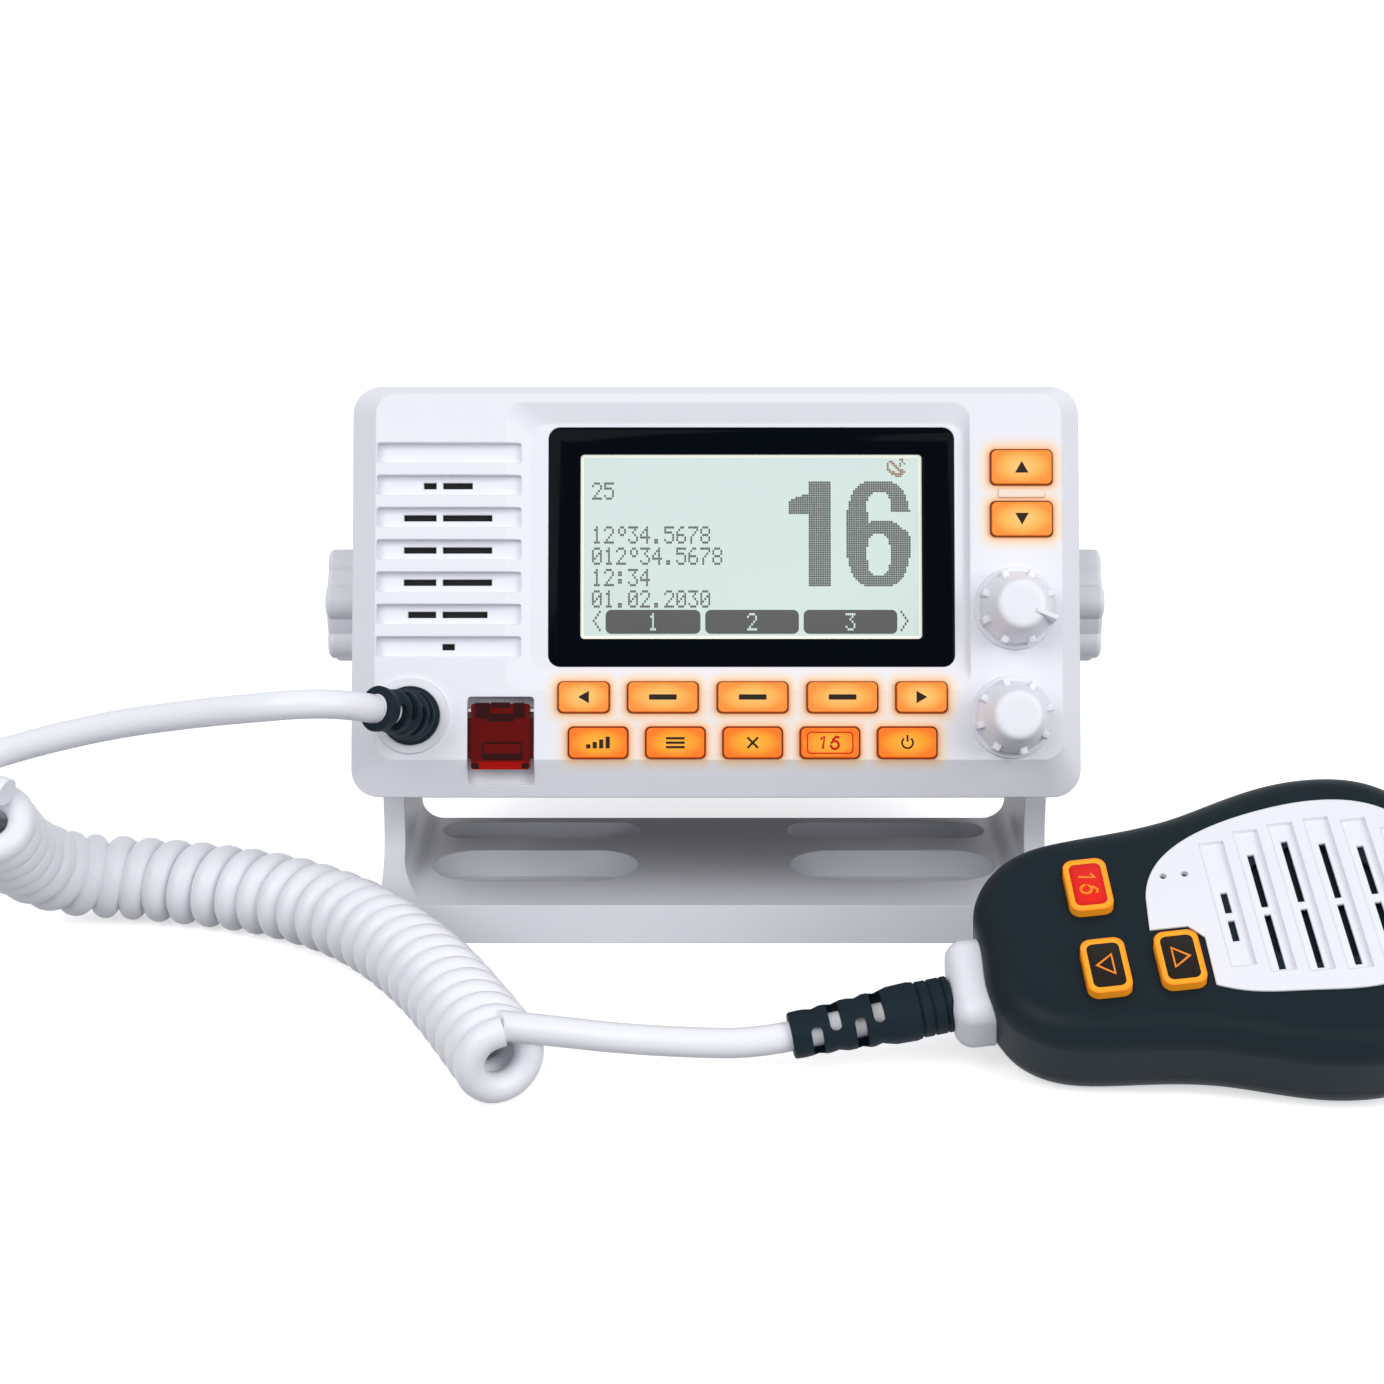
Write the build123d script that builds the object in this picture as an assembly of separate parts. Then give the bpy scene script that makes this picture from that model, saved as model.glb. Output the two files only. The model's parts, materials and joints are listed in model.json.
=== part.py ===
from build123d import *
import math
import os

# A fixed-mount VHF marine radio in a U-shaped gimbal bracket, with a fist microphone on a
# curly cord. Millimetres, +Z up, -Y towards the person who uses it. The origin is the centre
# of the bracket's footprint, on the surface that it stands on.

# ---------------------------------------------------------------- fits and clearances
SHAFT_FIT = 0.08      # radial gap of a shaft that turns in its hole
KEY_GAP = 0.25        # gap round a key in its hole
KEY_SEAT = 0.05       # gap between a key's flange and the wall that it rests behind
FACE_GAP = 0.1        # gap between faces that turn against each other
SNAP_GAP = 0.1        # gap left above a snap dome

# ---------------------------------------------------------------- bracket
ARM_INNER = 82.0      # half the width between the arms
ARM_T = 5.5
ARM_OUTER = ARM_INNER + ARM_T
BASE_FRONT = -33.0
BASE_REAR = 33.0
BASE_T = 10.5
BASE_CORNER_R = 9.0
ARM_FRONT = -11.0
ARM_FLARE_TOP = 26.0  # height where the arm's front edge starts to sweep forward
ARM_TAPER = 46.0      # height where the arm starts to narrow towards its round top
ARM_TOP_R = 18.0
ARM_ROOT_R = 6.0
PIVOT_Y = 12.0
PIVOT_Z = 78.5
SLOT_X = 48.0
SLOT_FRONT_Y = -4.0
SLOT_REAR_Y = 23.0
SLOT_L = 40.0
SLOT_W = 5.0
POCKET_END_GAP = 0.5  # flat left between a pocket's end and the root of the arm
POCKET_L = 2 * (ARM_INNER - ARM_ROOT_R - POCKET_END_GAP - SLOT_X)
POCKET_FRONT_W = 22.0
POCKET_REAR_W = 12.8
POCKET_DEPTH = 7.5

# ---------------------------------------------------------------- clamp knobs
STUD_R = 4.0
STUD_END = 62.0       # half the distance between the ends of the two studs
WASHER_T = 1.9
WASHER_R = 12.0
CLAMP_FLANGE_R = 13.0
CLAMP_FLANGE_T = 3.0
CLAMP_HEAD_OUT = 102.0
CLAMP_LOBES = 6
CLAMP_LOBE_R = 4.5
CLAMP_LOBE_PITCH_R = 11.5
CLAMP_CORE_R = 13.0

# ---------------------------------------------------------------- radio: bezel
TILT = 20.0           # the face leans back by this angle
FACE_OUT = 50.0       # the face stands this far in front of the pivot
BEZEL_W = 182.0
BEZEL_H = 103.0
BEZEL_D = 20.0
BEZEL_R = 7.0
FLAT_LEFT = 84.6      # extents of the flat face inside the sloping border
FLAT_RIGHT = 85.8
FLAT_TOP = 48.8
FLAT_BOTTOM = 42.3
FLAT_R = 5.0
BORDER_D = 6.0
WALL = 3.0
FACE_T = 4.0
CAVITY_SLOPE_D = 3.6
FACE_Y = -FACE_OUT
FACE_BACK = FACE_Y + FACE_T
BEZEL_BACK = FACE_Y + BEZEL_D

# display window, its sunk border, and what carries the panel behind it
WINDOW_W = 101.0
WINDOW_H = 59.7
WINDOW_R = 3.0
WINDOW_X = 8.8
WINDOW_Z = 10.75
DISH_D = 2.2
DISH_RIM = (-52.4, 63.0, -25.0, 46.6)
DISH_FLOOR = (-46.0, 61.7, -20.3, 41.6)
DISH_R = 4.0
FRAME_LIP = 2.6       # the display frame reaches this far past the window
FRAME_D = 6.0
PANEL_W = 93.0
PANEL_H = 54.0
PANEL_T = 2.5
BACKLIGHT_T = 1.3

# speaker grille
GROOVE_LEFT = -84.3
GROOVE_RIGHT = -48.5
GROOVE_H = 5.0
GROOVE_D = 2.6
GROOVE_PITCH = 8.05
GROOVE_TOP_Z = 34.06
SLIT_H = 1.6
SLIT_HALF_WIDTHS = (0.0, 6.1, 11.0, 11.0, 11.0, 9.9, 1.8)
SLIT_X = -66.8
SLIT_BRIDGE_X = -68.9
SLIT_BRIDGE_W = 1.6
SPEAKER_X = -65.5
SPEAKER_Z = 6.5
SPEAKER_R = 18.6
SPEAKER_FLANGE_T = 1.6
SPEAKER_D = 13.0
MAGNET_R = 11.5
MAGNET_D = 5.0
CLOTH_T = 0.4
CLOTH_H = 46.0

# keys on the face
KEY_R = 1.2
KEY_PROUD = 1.2
KEY_TRAVEL = 1.0
KEY_FLANGE = 0.8
KEY_FLANGE_T = 1.0
KEY_STEM_R = 1.8
DOME_R = 2.4
DOME_T = 0.25
KEY_MID_X = 9.0
ROW_1_Z = -26.8
ROW_2_Z = -38.1
ROW_KEY_H = 7.3
SOFT_PITCH = 22.2
SOFT_W = 17.0
SIDE_KEY_OUT = 41.8
SIDE_KEY_W = 12.2
FUNCTION_PITCH = 19.1
FUNCTION_W = 14.2
STEP_KEY_X = 75.8
STEP_KEY_W = 14.8
STEP_KEY_H = 8.3
UP_KEY_Z = 30.35
DOWN_KEY_Z = 17.45
STEP_PAD_W = 11.4     # the small raised pad between the two step keys
STEP_PAD_H = 2.2
STEP_PAD_PROUD = 0.5

# turning knobs and their encoders
VOLUME_X, VOLUME_Z = 74.1, -4.8
CHANNEL_X, CHANNEL_Z = 73.1, -31.8
KNOB_RING_R = 10.2
KNOB_RING_T = 0.8
KNOB_SKIRT_R = 8.5
KNOB_SKIRT_T = 5.5
KNOB_CAP_R = 5.9
KNOB_OUT = 15.0
KNOB_RIBS = 8
KNOB_RIB_TURN = {"volume": 22.5, "channel": -14.0}
KNOB_RIB = 1.8
KNOB_LIFT = 0.3
KNOB_STEM_R = 3.0
ENCODER_SIDE = 12.0
ENCODER_BUSH_R = 3.9
BUSH_GAP = 0.1

# distress key, its recess and its cover
RECESS_X = -53.35
RECESS_W = 16.5
RECESS_TOP = -26.7
RECESS_BOTTOM = -48.4
RECESS_D = 6.0
TUB_WALL = 1.5
COVER_W = 14.6
COVER_TOP = -28.4
COVER_BOTTOM = -44.7
COVER_T = 1.8
COVER_PROUD = 0.3
COVER_AXIS_Z = -30.0
COVER_AXIS_IN = 1.9   # the hinge axis lies this far behind the face
COVER_BARREL_R = 1.5
COVER_EAR_W = 16.0
COVER_EAR_D = 3.4
COVER_EAR_TOP = -32.0
COVER_EAR_BOTTOM = -42.0
COVER_EAR_T = 1.0
PIN_R = 0.75
DISTRESS_W = 9.4
DISTRESS_H = 4.2
DISTRESS_Z = -40.0
DISTRESS_PROUD = 2.2

# cord boot on the face
GLAND_X, GLAND_Z = -75.6, -31.4
GLAND_RING_R = 9.4
GLAND_RING_T = 0.8
GLAND_SEAT_R = 7.3
GLAND_SEAT_D = 1.8
BOOT_COLLAR_R = 7.2
BOOT_COLLAR_OUT = 2.0
BOOT_NECK_R = 4.6
BOOT_R = 5.2
BOOT_INNER_R = 6.2
BOOT_INNER_T = 2.0
BOOT_STRAIGHT = 4.0
BOOT_BEND_R = 30.0
BOOT_BEND = 37.0
BOOT_ROLL = 8.5       # the bend points left and up by this angle

# boards and fasteners
BOARD_T = 1.6
BOARD_FRONT = -36.6
BOARD_LEFT, BOARD_RIGHT = -43.0, 84.0
BOARD_BOTTOM, BOARD_STEP, BOARD_TOP = -46.5, -22.0, 45.5
BOARD_TONGUE_LEFT = -69.5
BOARD_POST_R = 2.4
BOARD_POSTS = ((60.5, -36.0), (-66.2, -38.0))
CORNER_BOSS_R = 3.2
CORNER_X = 78.7
CORNER_Z = 41.5
SCREW_R = 1.2
SCREW_HEAD_R = 2.2
SCREW_HEAD_T = 1.6
CASE_SCREW_L = 11.0

# ---------------------------------------------------------------- radio: chassis
GASKET_T = 0.8
GASKET_INSET = 0.5
FLANGE_T = 2.0
FLANGE_INSET = 0.7
CHASSIS_W = 152.0
CHASSIS_H = 84.0
CHASSIS_R = 5.0
CHASSIS_BACK = 62.0
FIN_D = 8.0
FIN_T = 1.8
FIN_PITCH = 6.0
FIN_HALF_SPAN = 33.0
BOSS_R = 13.0
BOSS_FACE = 80.0
INNER_BOSS_R = 8.0
INNER_BOSS_END = 60.0
MAIN_BOARD_HALF = 58.0
MAIN_BOARD_FRONT, MAIN_BOARD_REAR = -18.0, 50.0
MAIN_BOARD_Z = -30.0
MAIN_POST_X = 52.0
MAIN_POST_R = 3.0
CAN_BOX = (-36.0, 24.0, -10.0, 28.0)
CAN_H = 15.0
CAN_WALL = 0.8
SOCKET_X, SOCKET_Z = 52.0, 16.0
SOCKET_FLANGE = 25.4
SOCKET_FLANGE_T = 2.0
SOCKET_R = 7.94
SOCKET_L = 14.0
SOCKET_NECK_R = 5.5
POWER_X, POWER_Z = -52.0, 16.0
ACCESSORY_X, ACCESSORY_Z = -52.0, -12.0
POWER_LEAD_R = 3.2
ACCESSORY_LEAD_R = 2.4
GLAND_WALL = 3.0
GLAND_FLANGE = 2.5

# ---------------------------------------------------------------- microphone
MIC_X, MIC_Y, MIC_Z = 98.3, -107.9, 36.0
MIC_YAW = -9.5
MIC_LEAN = 30.0
MIC_ROLL = 12.34
MIC_MID_W = 1.2
MIC_HALF_OUTLINE = ((-38.6, 6.0), (-37.3, 15.5), (-33.0, 22.8), (-24.5, 27.6),
                    (-11.0, 30.0), (8.0, 32.2),
                    (30.0, 38.8), (46.0, 40.6), (61.0, 36.5), (72.5, 23.0), (77.5, 7.0))
MIC_WALL = 2.2
SHELL_TOP = -0.4
SHELL_SHOULDER = 7.0
SEAM = -19.0
SEAL_T = 0.4
BACK_INSET = 0.8
BACK_N = -27.2
BACK_SHOULDER = 8.0
PLATE_T = 1.6
PLATE_OUTLINE = ((0.6, 8.0), (6.7, 19.4), (17.6, 26.1), (31.2, 30.0), (44.4, 31.3), (58.0, 28.0),
                 (67.0, 18.0), (70.0, 4.0), (67.0, -10.0), (59.0, -19.0), (47.6, -23.0),
                 (31.7, -22.4), (19.9, -21.2), (11.4, -18.3))
PLATE_NOTCH = ((11.4, -18.3), (11.6, -5.0), (8.4, -1.4), (-0.3, -1.4), (0.6, 8.0))
LOUVRE_A = 18.5
LOUVRE_PITCH = 8.45
LOUVRE_W = 5.7
LOUVRE_D = 0.9
LOUVRE_HALF_LENGTHS = (18.0, 20.5, 21.5, 22.0, 20.5, 17.0)
LOUVRE_SLITS = ((1.6, 7.6, -6.5, -0.5), (2.2, 17.8, -15.6, 0.1), (2.6, 20.7, -16.3, 0.6),
                (2.6, 18.9, -16.5, 0.8), (2.6, 17.0, -15.0, 0.3), (2.6, 11.0, -9.0, 0.3))
LOUVRE_MID_W = 4.0
MIC_SPEAKER_A, MIC_SPEAKER_W = 38.5, 2.5
MIC_SPEAKER_R = 19.0
MIC_SPEAKER_D = 7.0
CAPSULE_A, CAPSULE_W = 8.2, 13.6
CAPSULE_R = 4.8
CAPSULE_D = 5.0
MIC_HOLE_R = 0.8
MIC_HOLE_PITCH = 5.0
MIC_KEY_A = 10.0
MIC_KEY_W = 15.0
MIC_KEY_R = 2.5
MIC_KEY_PROUD = 2.0
MIC_KEYS = {"mic_key_channel": (-12.0, 12.3), "mic_key_down": (-12.0, -11.0),
            "mic_key_up": (4.7, -11.0)}
MIC_BOARD_N = -14.0
MIC_BOARD_INSET = 6.0
MIC_SCREWS = ((-27.0, 1.2), (60.0, 24.0), (60.0, -21.0))
MIC_POST_R = 3.0
MIC_SCREW_L = 19.0
TALK_A0, TALK_A1 = -12.0, 24.0
TALK_N0, TALK_N1 = -17.4, -9.2
TALK_PROUD = 1.8
TALK_TRAVEL = 1.8
TALK_FLANGE = 1.4
TALK_FLANGE_T = 1.2
STUD_A = 6.0
STUD_NECK_R = 5.0
STUD_HEAD_R = 8.5
STUD_NECK_L = 7.1
STUD_HEAD_T = 3.4
COLLAR_A = -46.5
COLLAR_END_A = -34.0
COLLAR_W0, COLLAR_W1 = -14.8, 8.8
COLLAR_N0, COLLAR_N1 = -22.6, -6.8
COLLAR_R = 4.5
MIC_BOOT_W, MIC_BOOT_N = -5.0, -15.0
MIC_BOOT_L = 37.7
MIC_BOOT_TURN = 6.5
MIC_BOOT_R0 = 7.0
MIC_BOOT_R1 = 5.0
MIC_BOOT_CUFF_R = 6.5
MIC_BOOT_CUFF_L = 10.0

# ---------------------------------------------------------------- cord
CORD_R = 3.5
COIL_R = 11.2         # outer radius of the coil
COIL_WIRE_R = COIL_R - CORD_R
# the coil's centre line: from the microphone's end, along the table, then up to the lead
COIL_ROUTE = ((-48.0, -128.0, COIL_R), (-59.9, -97.6, COIL_R), (-72.6, -71.0, COIL_R),
              (-90.0, -45.0, COIL_R), (-111.5, -28.0, COIL_R), (-134.5, -19.5, COIL_R),
              (-155.5, -14.8, COIL_R), (-170.5, -18.5, 13.4), (-179.3, -30.0, 22.6),
              (-179.6, -44.5, 33.6), (-179.0, -59.0, 44.5))
EXIT_RUN = 8.5        # a lead leaves its boot straight over this length
# the lead from the microphone's boot to the top of the coil's end turn, after its exit
MIC_LEAD_ROUTE = ((-4.2, -112.6, 8.8), (-22.4, -115.4, 11.2),
                  (-37.0, -119.6, 15.0), (-49.4, -124.9, COIL_R + COIL_WIRE_R))
# the lead from the radio's boot to the coil's raised end, after its exit
RADIO_LEAD_ROUTE = ((-96.3, -76.6, 79.0), (-107.1, -75.0, 77.6),
                    (-123.8, -67.0, 73.6), (-148.6, -57.5, 67.4), (-176.7, -50.5, 58.3),
                    (-193.0, -52.5, 52.0), (-195.0, -60.5, 38.5), (-184.5, -64.5, 34.5))


# ---------------------------------------------------------------- small helpers
def block(x0, x1, y0, y1, z0, z1):
    """A box given by its six faces."""
    centre = Pos((x0 + x1) / 2, (y0 + y1) / 2, (z0 + z1) / 2)
    return centre * Box(x1 - x0, y1 - y0, z1 - z0)


def front_plane(y):
    """A drawing plane that faces the user: its own x is X and its own y is Z."""
    return Plane(origin=(0, y, 0), x_dir=(1, 0, 0), z_dir=(0, -1, 0))


def slab(sketch, front, back):
    """Extrude a sketch drawn on the front plane, from y=front back to y=back."""
    return extrude(front_plane(front) * sketch, -(back - front))


def rounded(width, height, radius, x=0.0, z=0.0):
    """A rounded rectangle with its centre at x, z."""
    return Pos(x, z) * RectangleRounded(width, height, radius)


def rounded_span(x0, x1, z0, z1, radius):
    """A rounded rectangle given by its edges."""
    return rounded(x1 - x0, z1 - z0, radius, (x0 + x1) / 2, (z0 + z1) / 2)


def disc(radius, x=0.0, z=0.0):
    """A circle with its centre at x, z."""
    return Pos(x, z) * Circle(radius)


def frustum(front_sketch, front, back_sketch, back):
    """A straight-sided transition between two outlines on parallel front planes."""
    faces = [(front_plane(front) * front_sketch).faces()[0],
             (front_plane(back) * back_sketch).faces()[0]]
    return loft(faces, ruled=True)


def prism(outline, n0, n1):
    """Extrude an outline in the microphone's own plane from n0 up to n1."""
    return extrude(Pos(0, 0, n0) * outline, n1 - n0)


def cylinder_x(radius, x0, x1, y=0.0, z=0.0):
    """A cylinder along X."""
    sketch = Plane(origin=(x0, y, z), x_dir=(0, 1, 0), z_dir=(1, 0, 0)) * Circle(radius)
    return extrude(sketch, x1 - x0)


def cylinder_n(radius, a, w, n0, n1):
    """A cylinder along the microphone's own normal."""
    return prism(Pos(a, w) * Circle(radius), n0, n1)


def tangent_point(point, centre, radius, side):
    """Where a line from point touches a circle; side is +1 or -1."""
    dy, dz = point[0] - centre[0], point[1] - centre[1]
    spread = math.acos(radius / math.hypot(dy, dz))
    angle = math.atan2(dz, dy) + side * spread
    return centre[0] + radius * math.cos(angle), centre[1] + radius * math.sin(angle)


def corner_radii(points):
    """One radius for each corner of a route: 0.45 of the shorter run over tan(half the turn)."""
    radii = []
    for before, here, after in zip(points, points[1:], points[2:]):
        run_in, run_out = Vector(here) - Vector(before), Vector(after) - Vector(here)
        half_turn = math.radians(run_in.get_angle(run_out)) / 2
        radii.append(0.45 * min(run_in.length, run_out.length) / math.tan(half_turn))
    return radii


def tube(name, points, radius):
    """A plain tube along straight runs joined by tangent arcs."""
    radii = corner_radii(points)
    path = FilletPolyline(*points, radius=radii)
    start = Plane(origin=points[0], z_dir=Vector(points[1]) - Vector(points[0]))
    solid = sweep(start * Circle(radius), path=path)
    print(name, "length", round(path.length, 1), "radii", [round(r, 1) for r in radii],
          "volume ratio", round(solid.volume / (math.pi * radius ** 2 * path.length), 4))
    return solid


# ---------------------------------------------------------------- places
RADIO_PLACE = Pos(0, PIVOT_Y, PIVOT_Z) * Rot(X=-TILT)
MIC_PLACE = Pos(MIC_X, MIC_Y, MIC_Z) * Rot(Z=MIC_YAW) * Rot(X=MIC_LEAN) * Rot(Z=MIC_ROLL)


# ---------------------------------------------------------------- bracket and clamps
def arm_profile():
    """Side view of the bracket, drawn in Y and Z."""
    pivot = (PIVOT_Y, PIVOT_Z)
    front_low, rear_low = (ARM_FRONT, ARM_TAPER), (BASE_REAR, ARM_TAPER)
    front_top = tangent_point(front_low, pivot, ARM_TOP_R, -1)
    rear_top = tangent_point(rear_low, pivot, ARM_TOP_R, 1)
    sweep_curve = Bezier((BASE_FRONT, BASE_T), (ARM_FRONT, BASE_T), (ARM_FRONT, ARM_FLARE_TOP))
    edges = [
        Line((BASE_FRONT, 0), (BASE_FRONT, BASE_T)),
        sweep_curve,
        Line((ARM_FRONT, ARM_FLARE_TOP), front_low),
        Line(front_low, front_top),
        ThreePointArc(front_top, (PIVOT_Y, PIVOT_Z + ARM_TOP_R), rear_top),
        Line(rear_top, rear_low),
        Line(rear_low, (BASE_REAR, 0)),
        Line((BASE_REAR, 0), (BASE_FRONT, 0)),
    ]
    return make_face(edges)


def slot_places():
    """Centre of each screw slot with its pocket's width."""
    rows = ((SLOT_FRONT_Y, POCKET_FRONT_W), (SLOT_REAR_Y, POCKET_REAR_W))
    return [(side * SLOT_X, y, width) for side in (-1, 1) for y, width in rows]


def gimbal_bracket():
    """One moulded U: two arms on a thick base with pocketed screw slots."""
    height = PIVOT_Z + ARM_TOP_R
    depth = BASE_REAR - BASE_FRONT
    outer = Pos(0, height / 2) * Rectangle(2 * ARM_OUTER, height)
    inside = Pos(0, BASE_T + height / 2) * Rectangle(2 * ARM_INNER, height)
    low_corners = inside.vertices().sort_by(Axis.Y)[:2]
    section = outer - fillet(low_corners, ARM_ROOT_R)
    body = slab(section, BASE_FRONT, BASE_REAR)
    side_plane = Plane(origin=(-ARM_OUTER, 0, 0), x_dir=(0, 1, 0), z_dir=(1, 0, 0))
    body &= extrude(side_plane * arm_profile(), 2 * ARM_OUTER)
    footprint = Pos(0, (BASE_FRONT + BASE_REAR) / 2) * RectangleRounded(
        2 * ARM_OUTER, depth, BASE_CORNER_R)
    body &= extrude(footprint, height)
    body -= cylinder_x(STUD_R + SHAFT_FIT, -ARM_OUTER, ARM_OUTER, PIVOT_Y, PIVOT_Z)
    for x, y, width in slot_places():
        pocket = Pos(x, y, BASE_T - POCKET_DEPTH) * SlotOverall(POCKET_L, width)
        body -= extrude(pocket, POCKET_DEPTH)
        body -= extrude(Pos(x, y, 0) * SlotOverall(SLOT_L, SLOT_W), BASE_T)
    return body


def clamp_knob(side):
    """A lobed knob on a threaded stud that clamps one arm to the chassis."""
    face = ARM_OUTER + FACE_GAP
    grip = Circle(CLAMP_CORE_R)
    for lobe in range(CLAMP_LOBES):
        angle = 360 / CLAMP_LOBES * lobe
        grip += Rot(Z=angle) * Pos(CLAMP_LOBE_PITCH_R, 0) * Circle(CLAMP_LOBE_R)
    plane = Plane(origin=(face + CLAMP_FLANGE_T, 0, 0), x_dir=(0, 1, 0), z_dir=(1, 0, 0))
    knob = extrude(plane * grip, CLAMP_HEAD_OUT - face - CLAMP_FLANGE_T)
    knob = fillet(knob.edges().group_by(Axis.X)[-1], 1.5)
    knob += cylinder_x(CLAMP_FLANGE_R, face, face + CLAMP_FLANGE_T)
    knob += cylinder_x(STUD_R, STUD_END, face)
    return knob if side > 0 else mirror(knob, about=Plane.YZ)


def clamp_washer(side):
    """A rubber washer between the chassis and an arm."""
    ring = cylinder_x(WASHER_R, BOSS_FACE, BOSS_FACE + WASHER_T)
    ring -= cylinder_x(STUD_R + FACE_GAP, BOSS_FACE, BOSS_FACE + WASHER_T)
    return ring if side > 0 else mirror(ring, about=Plane.YZ)


# ---------------------------------------------------------------- radio face
def key_layout():
    """Every key on the face: name to centre, width and height."""
    keys = {}
    for side, name in ((-1, "key_left"), (1, "key_right")):
        keys[name] = (KEY_MID_X + side * SIDE_KEY_OUT, ROW_1_Z, SIDE_KEY_W, ROW_KEY_H)
    for index in range(3):
        x = KEY_MID_X + (index - 1) * SOFT_PITCH
        keys[f"key_soft_{index + 1}"] = (x, ROW_1_Z, SOFT_W, ROW_KEY_H)
    for index, name in enumerate(("power_level", "menu", "clear", "channel_16", "power")):
        x = KEY_MID_X + (index - 2) * FUNCTION_PITCH
        keys[f"key_{name}"] = (x, ROW_2_Z, FUNCTION_W, ROW_KEY_H)
    keys["key_up"] = (STEP_KEY_X, UP_KEY_Z, STEP_KEY_W, STEP_KEY_H)
    keys["key_down"] = (STEP_KEY_X, DOWN_KEY_Z, STEP_KEY_W, STEP_KEY_H)
    return keys


def bezel_outline(inset=0.0):
    """The bezel's full outline, drawn in by inset."""
    return rounded(BEZEL_W - 2 * inset, BEZEL_H - 2 * inset, BEZEL_R - inset)


def cavity_reach(flat, full):
    """Half extent of the cavity at the back of the face, a wall inside the sloping border."""
    slope = math.atan2(full - flat, BORDER_D)
    return flat + math.tan(slope) * FACE_T - WALL / math.cos(slope)


def bezel_cavity():
    """The space inside the bezel, parallel to its outer faces."""
    back = bezel_outline(WALL)
    left = cavity_reach(FLAT_LEFT, BEZEL_W / 2)
    right = cavity_reach(FLAT_RIGHT, BEZEL_W / 2)
    top = cavity_reach(FLAT_TOP, BEZEL_H / 2)
    bottom = cavity_reach(FLAT_BOTTOM, BEZEL_H / 2)
    front = rounded_span(-left, right, -bottom, top, FLAT_R)
    slope_end = FACE_BACK + CAVITY_SLOPE_D
    return frustum(front, FACE_BACK, back, slope_end) + slab(back, slope_end, BEZEL_BACK)


def groove_places():
    """Centre height and slit half width of each speaker groove."""
    return [(GROOVE_TOP_Z - GROOVE_PITCH * index, half)
            for index, half in enumerate(SLIT_HALF_WIDTHS)]


def speaker_cuts():
    """Grooves, and the slits through their floors."""
    cuts = []
    for z, half in groove_places():
        groove = rounded_span(GROOVE_LEFT, GROOVE_RIGHT, z - GROOVE_H / 2, z + GROOVE_H / 2, 0.6)
        cuts.append(slab(groove, FACE_Y, FACE_Y + GROOVE_D))
        left, right = SLIT_X - half, SLIT_X + half
        bridge = (SLIT_BRIDGE_X - SLIT_BRIDGE_W / 2, SLIT_BRIDGE_X + SLIT_BRIDGE_W / 2)
        spans = [(left, min(right, bridge[0])), (max(left, bridge[1]), right)]
        for x0, x1 in spans:
            if x1 - x0 > SLIT_H:
                z0 = z - SLIT_H / 2
                cuts.append(block(x0, x1, FACE_Y, FACE_BACK, z0, z0 + SLIT_H))
    return cuts


def recess_outline(grow=0.0):
    """The recess of the distress key, seen from the front."""
    return rounded_span(RECESS_X - RECESS_W / 2 - grow, RECESS_X + RECESS_W / 2 + grow,
                        RECESS_BOTTOM - grow, RECESS_TOP + grow, 1.0)


def knob_places():
    """Centres of the two turning knobs."""
    return ((VOLUME_X, VOLUME_Z), (CHANNEL_X, CHANNEL_Z))


def corner_places():
    """Centres of the four case screws."""
    return [(sx * CORNER_X, sz * CORNER_Z) for sx in (-1, 1) for sz in (-1, 1)]


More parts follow.
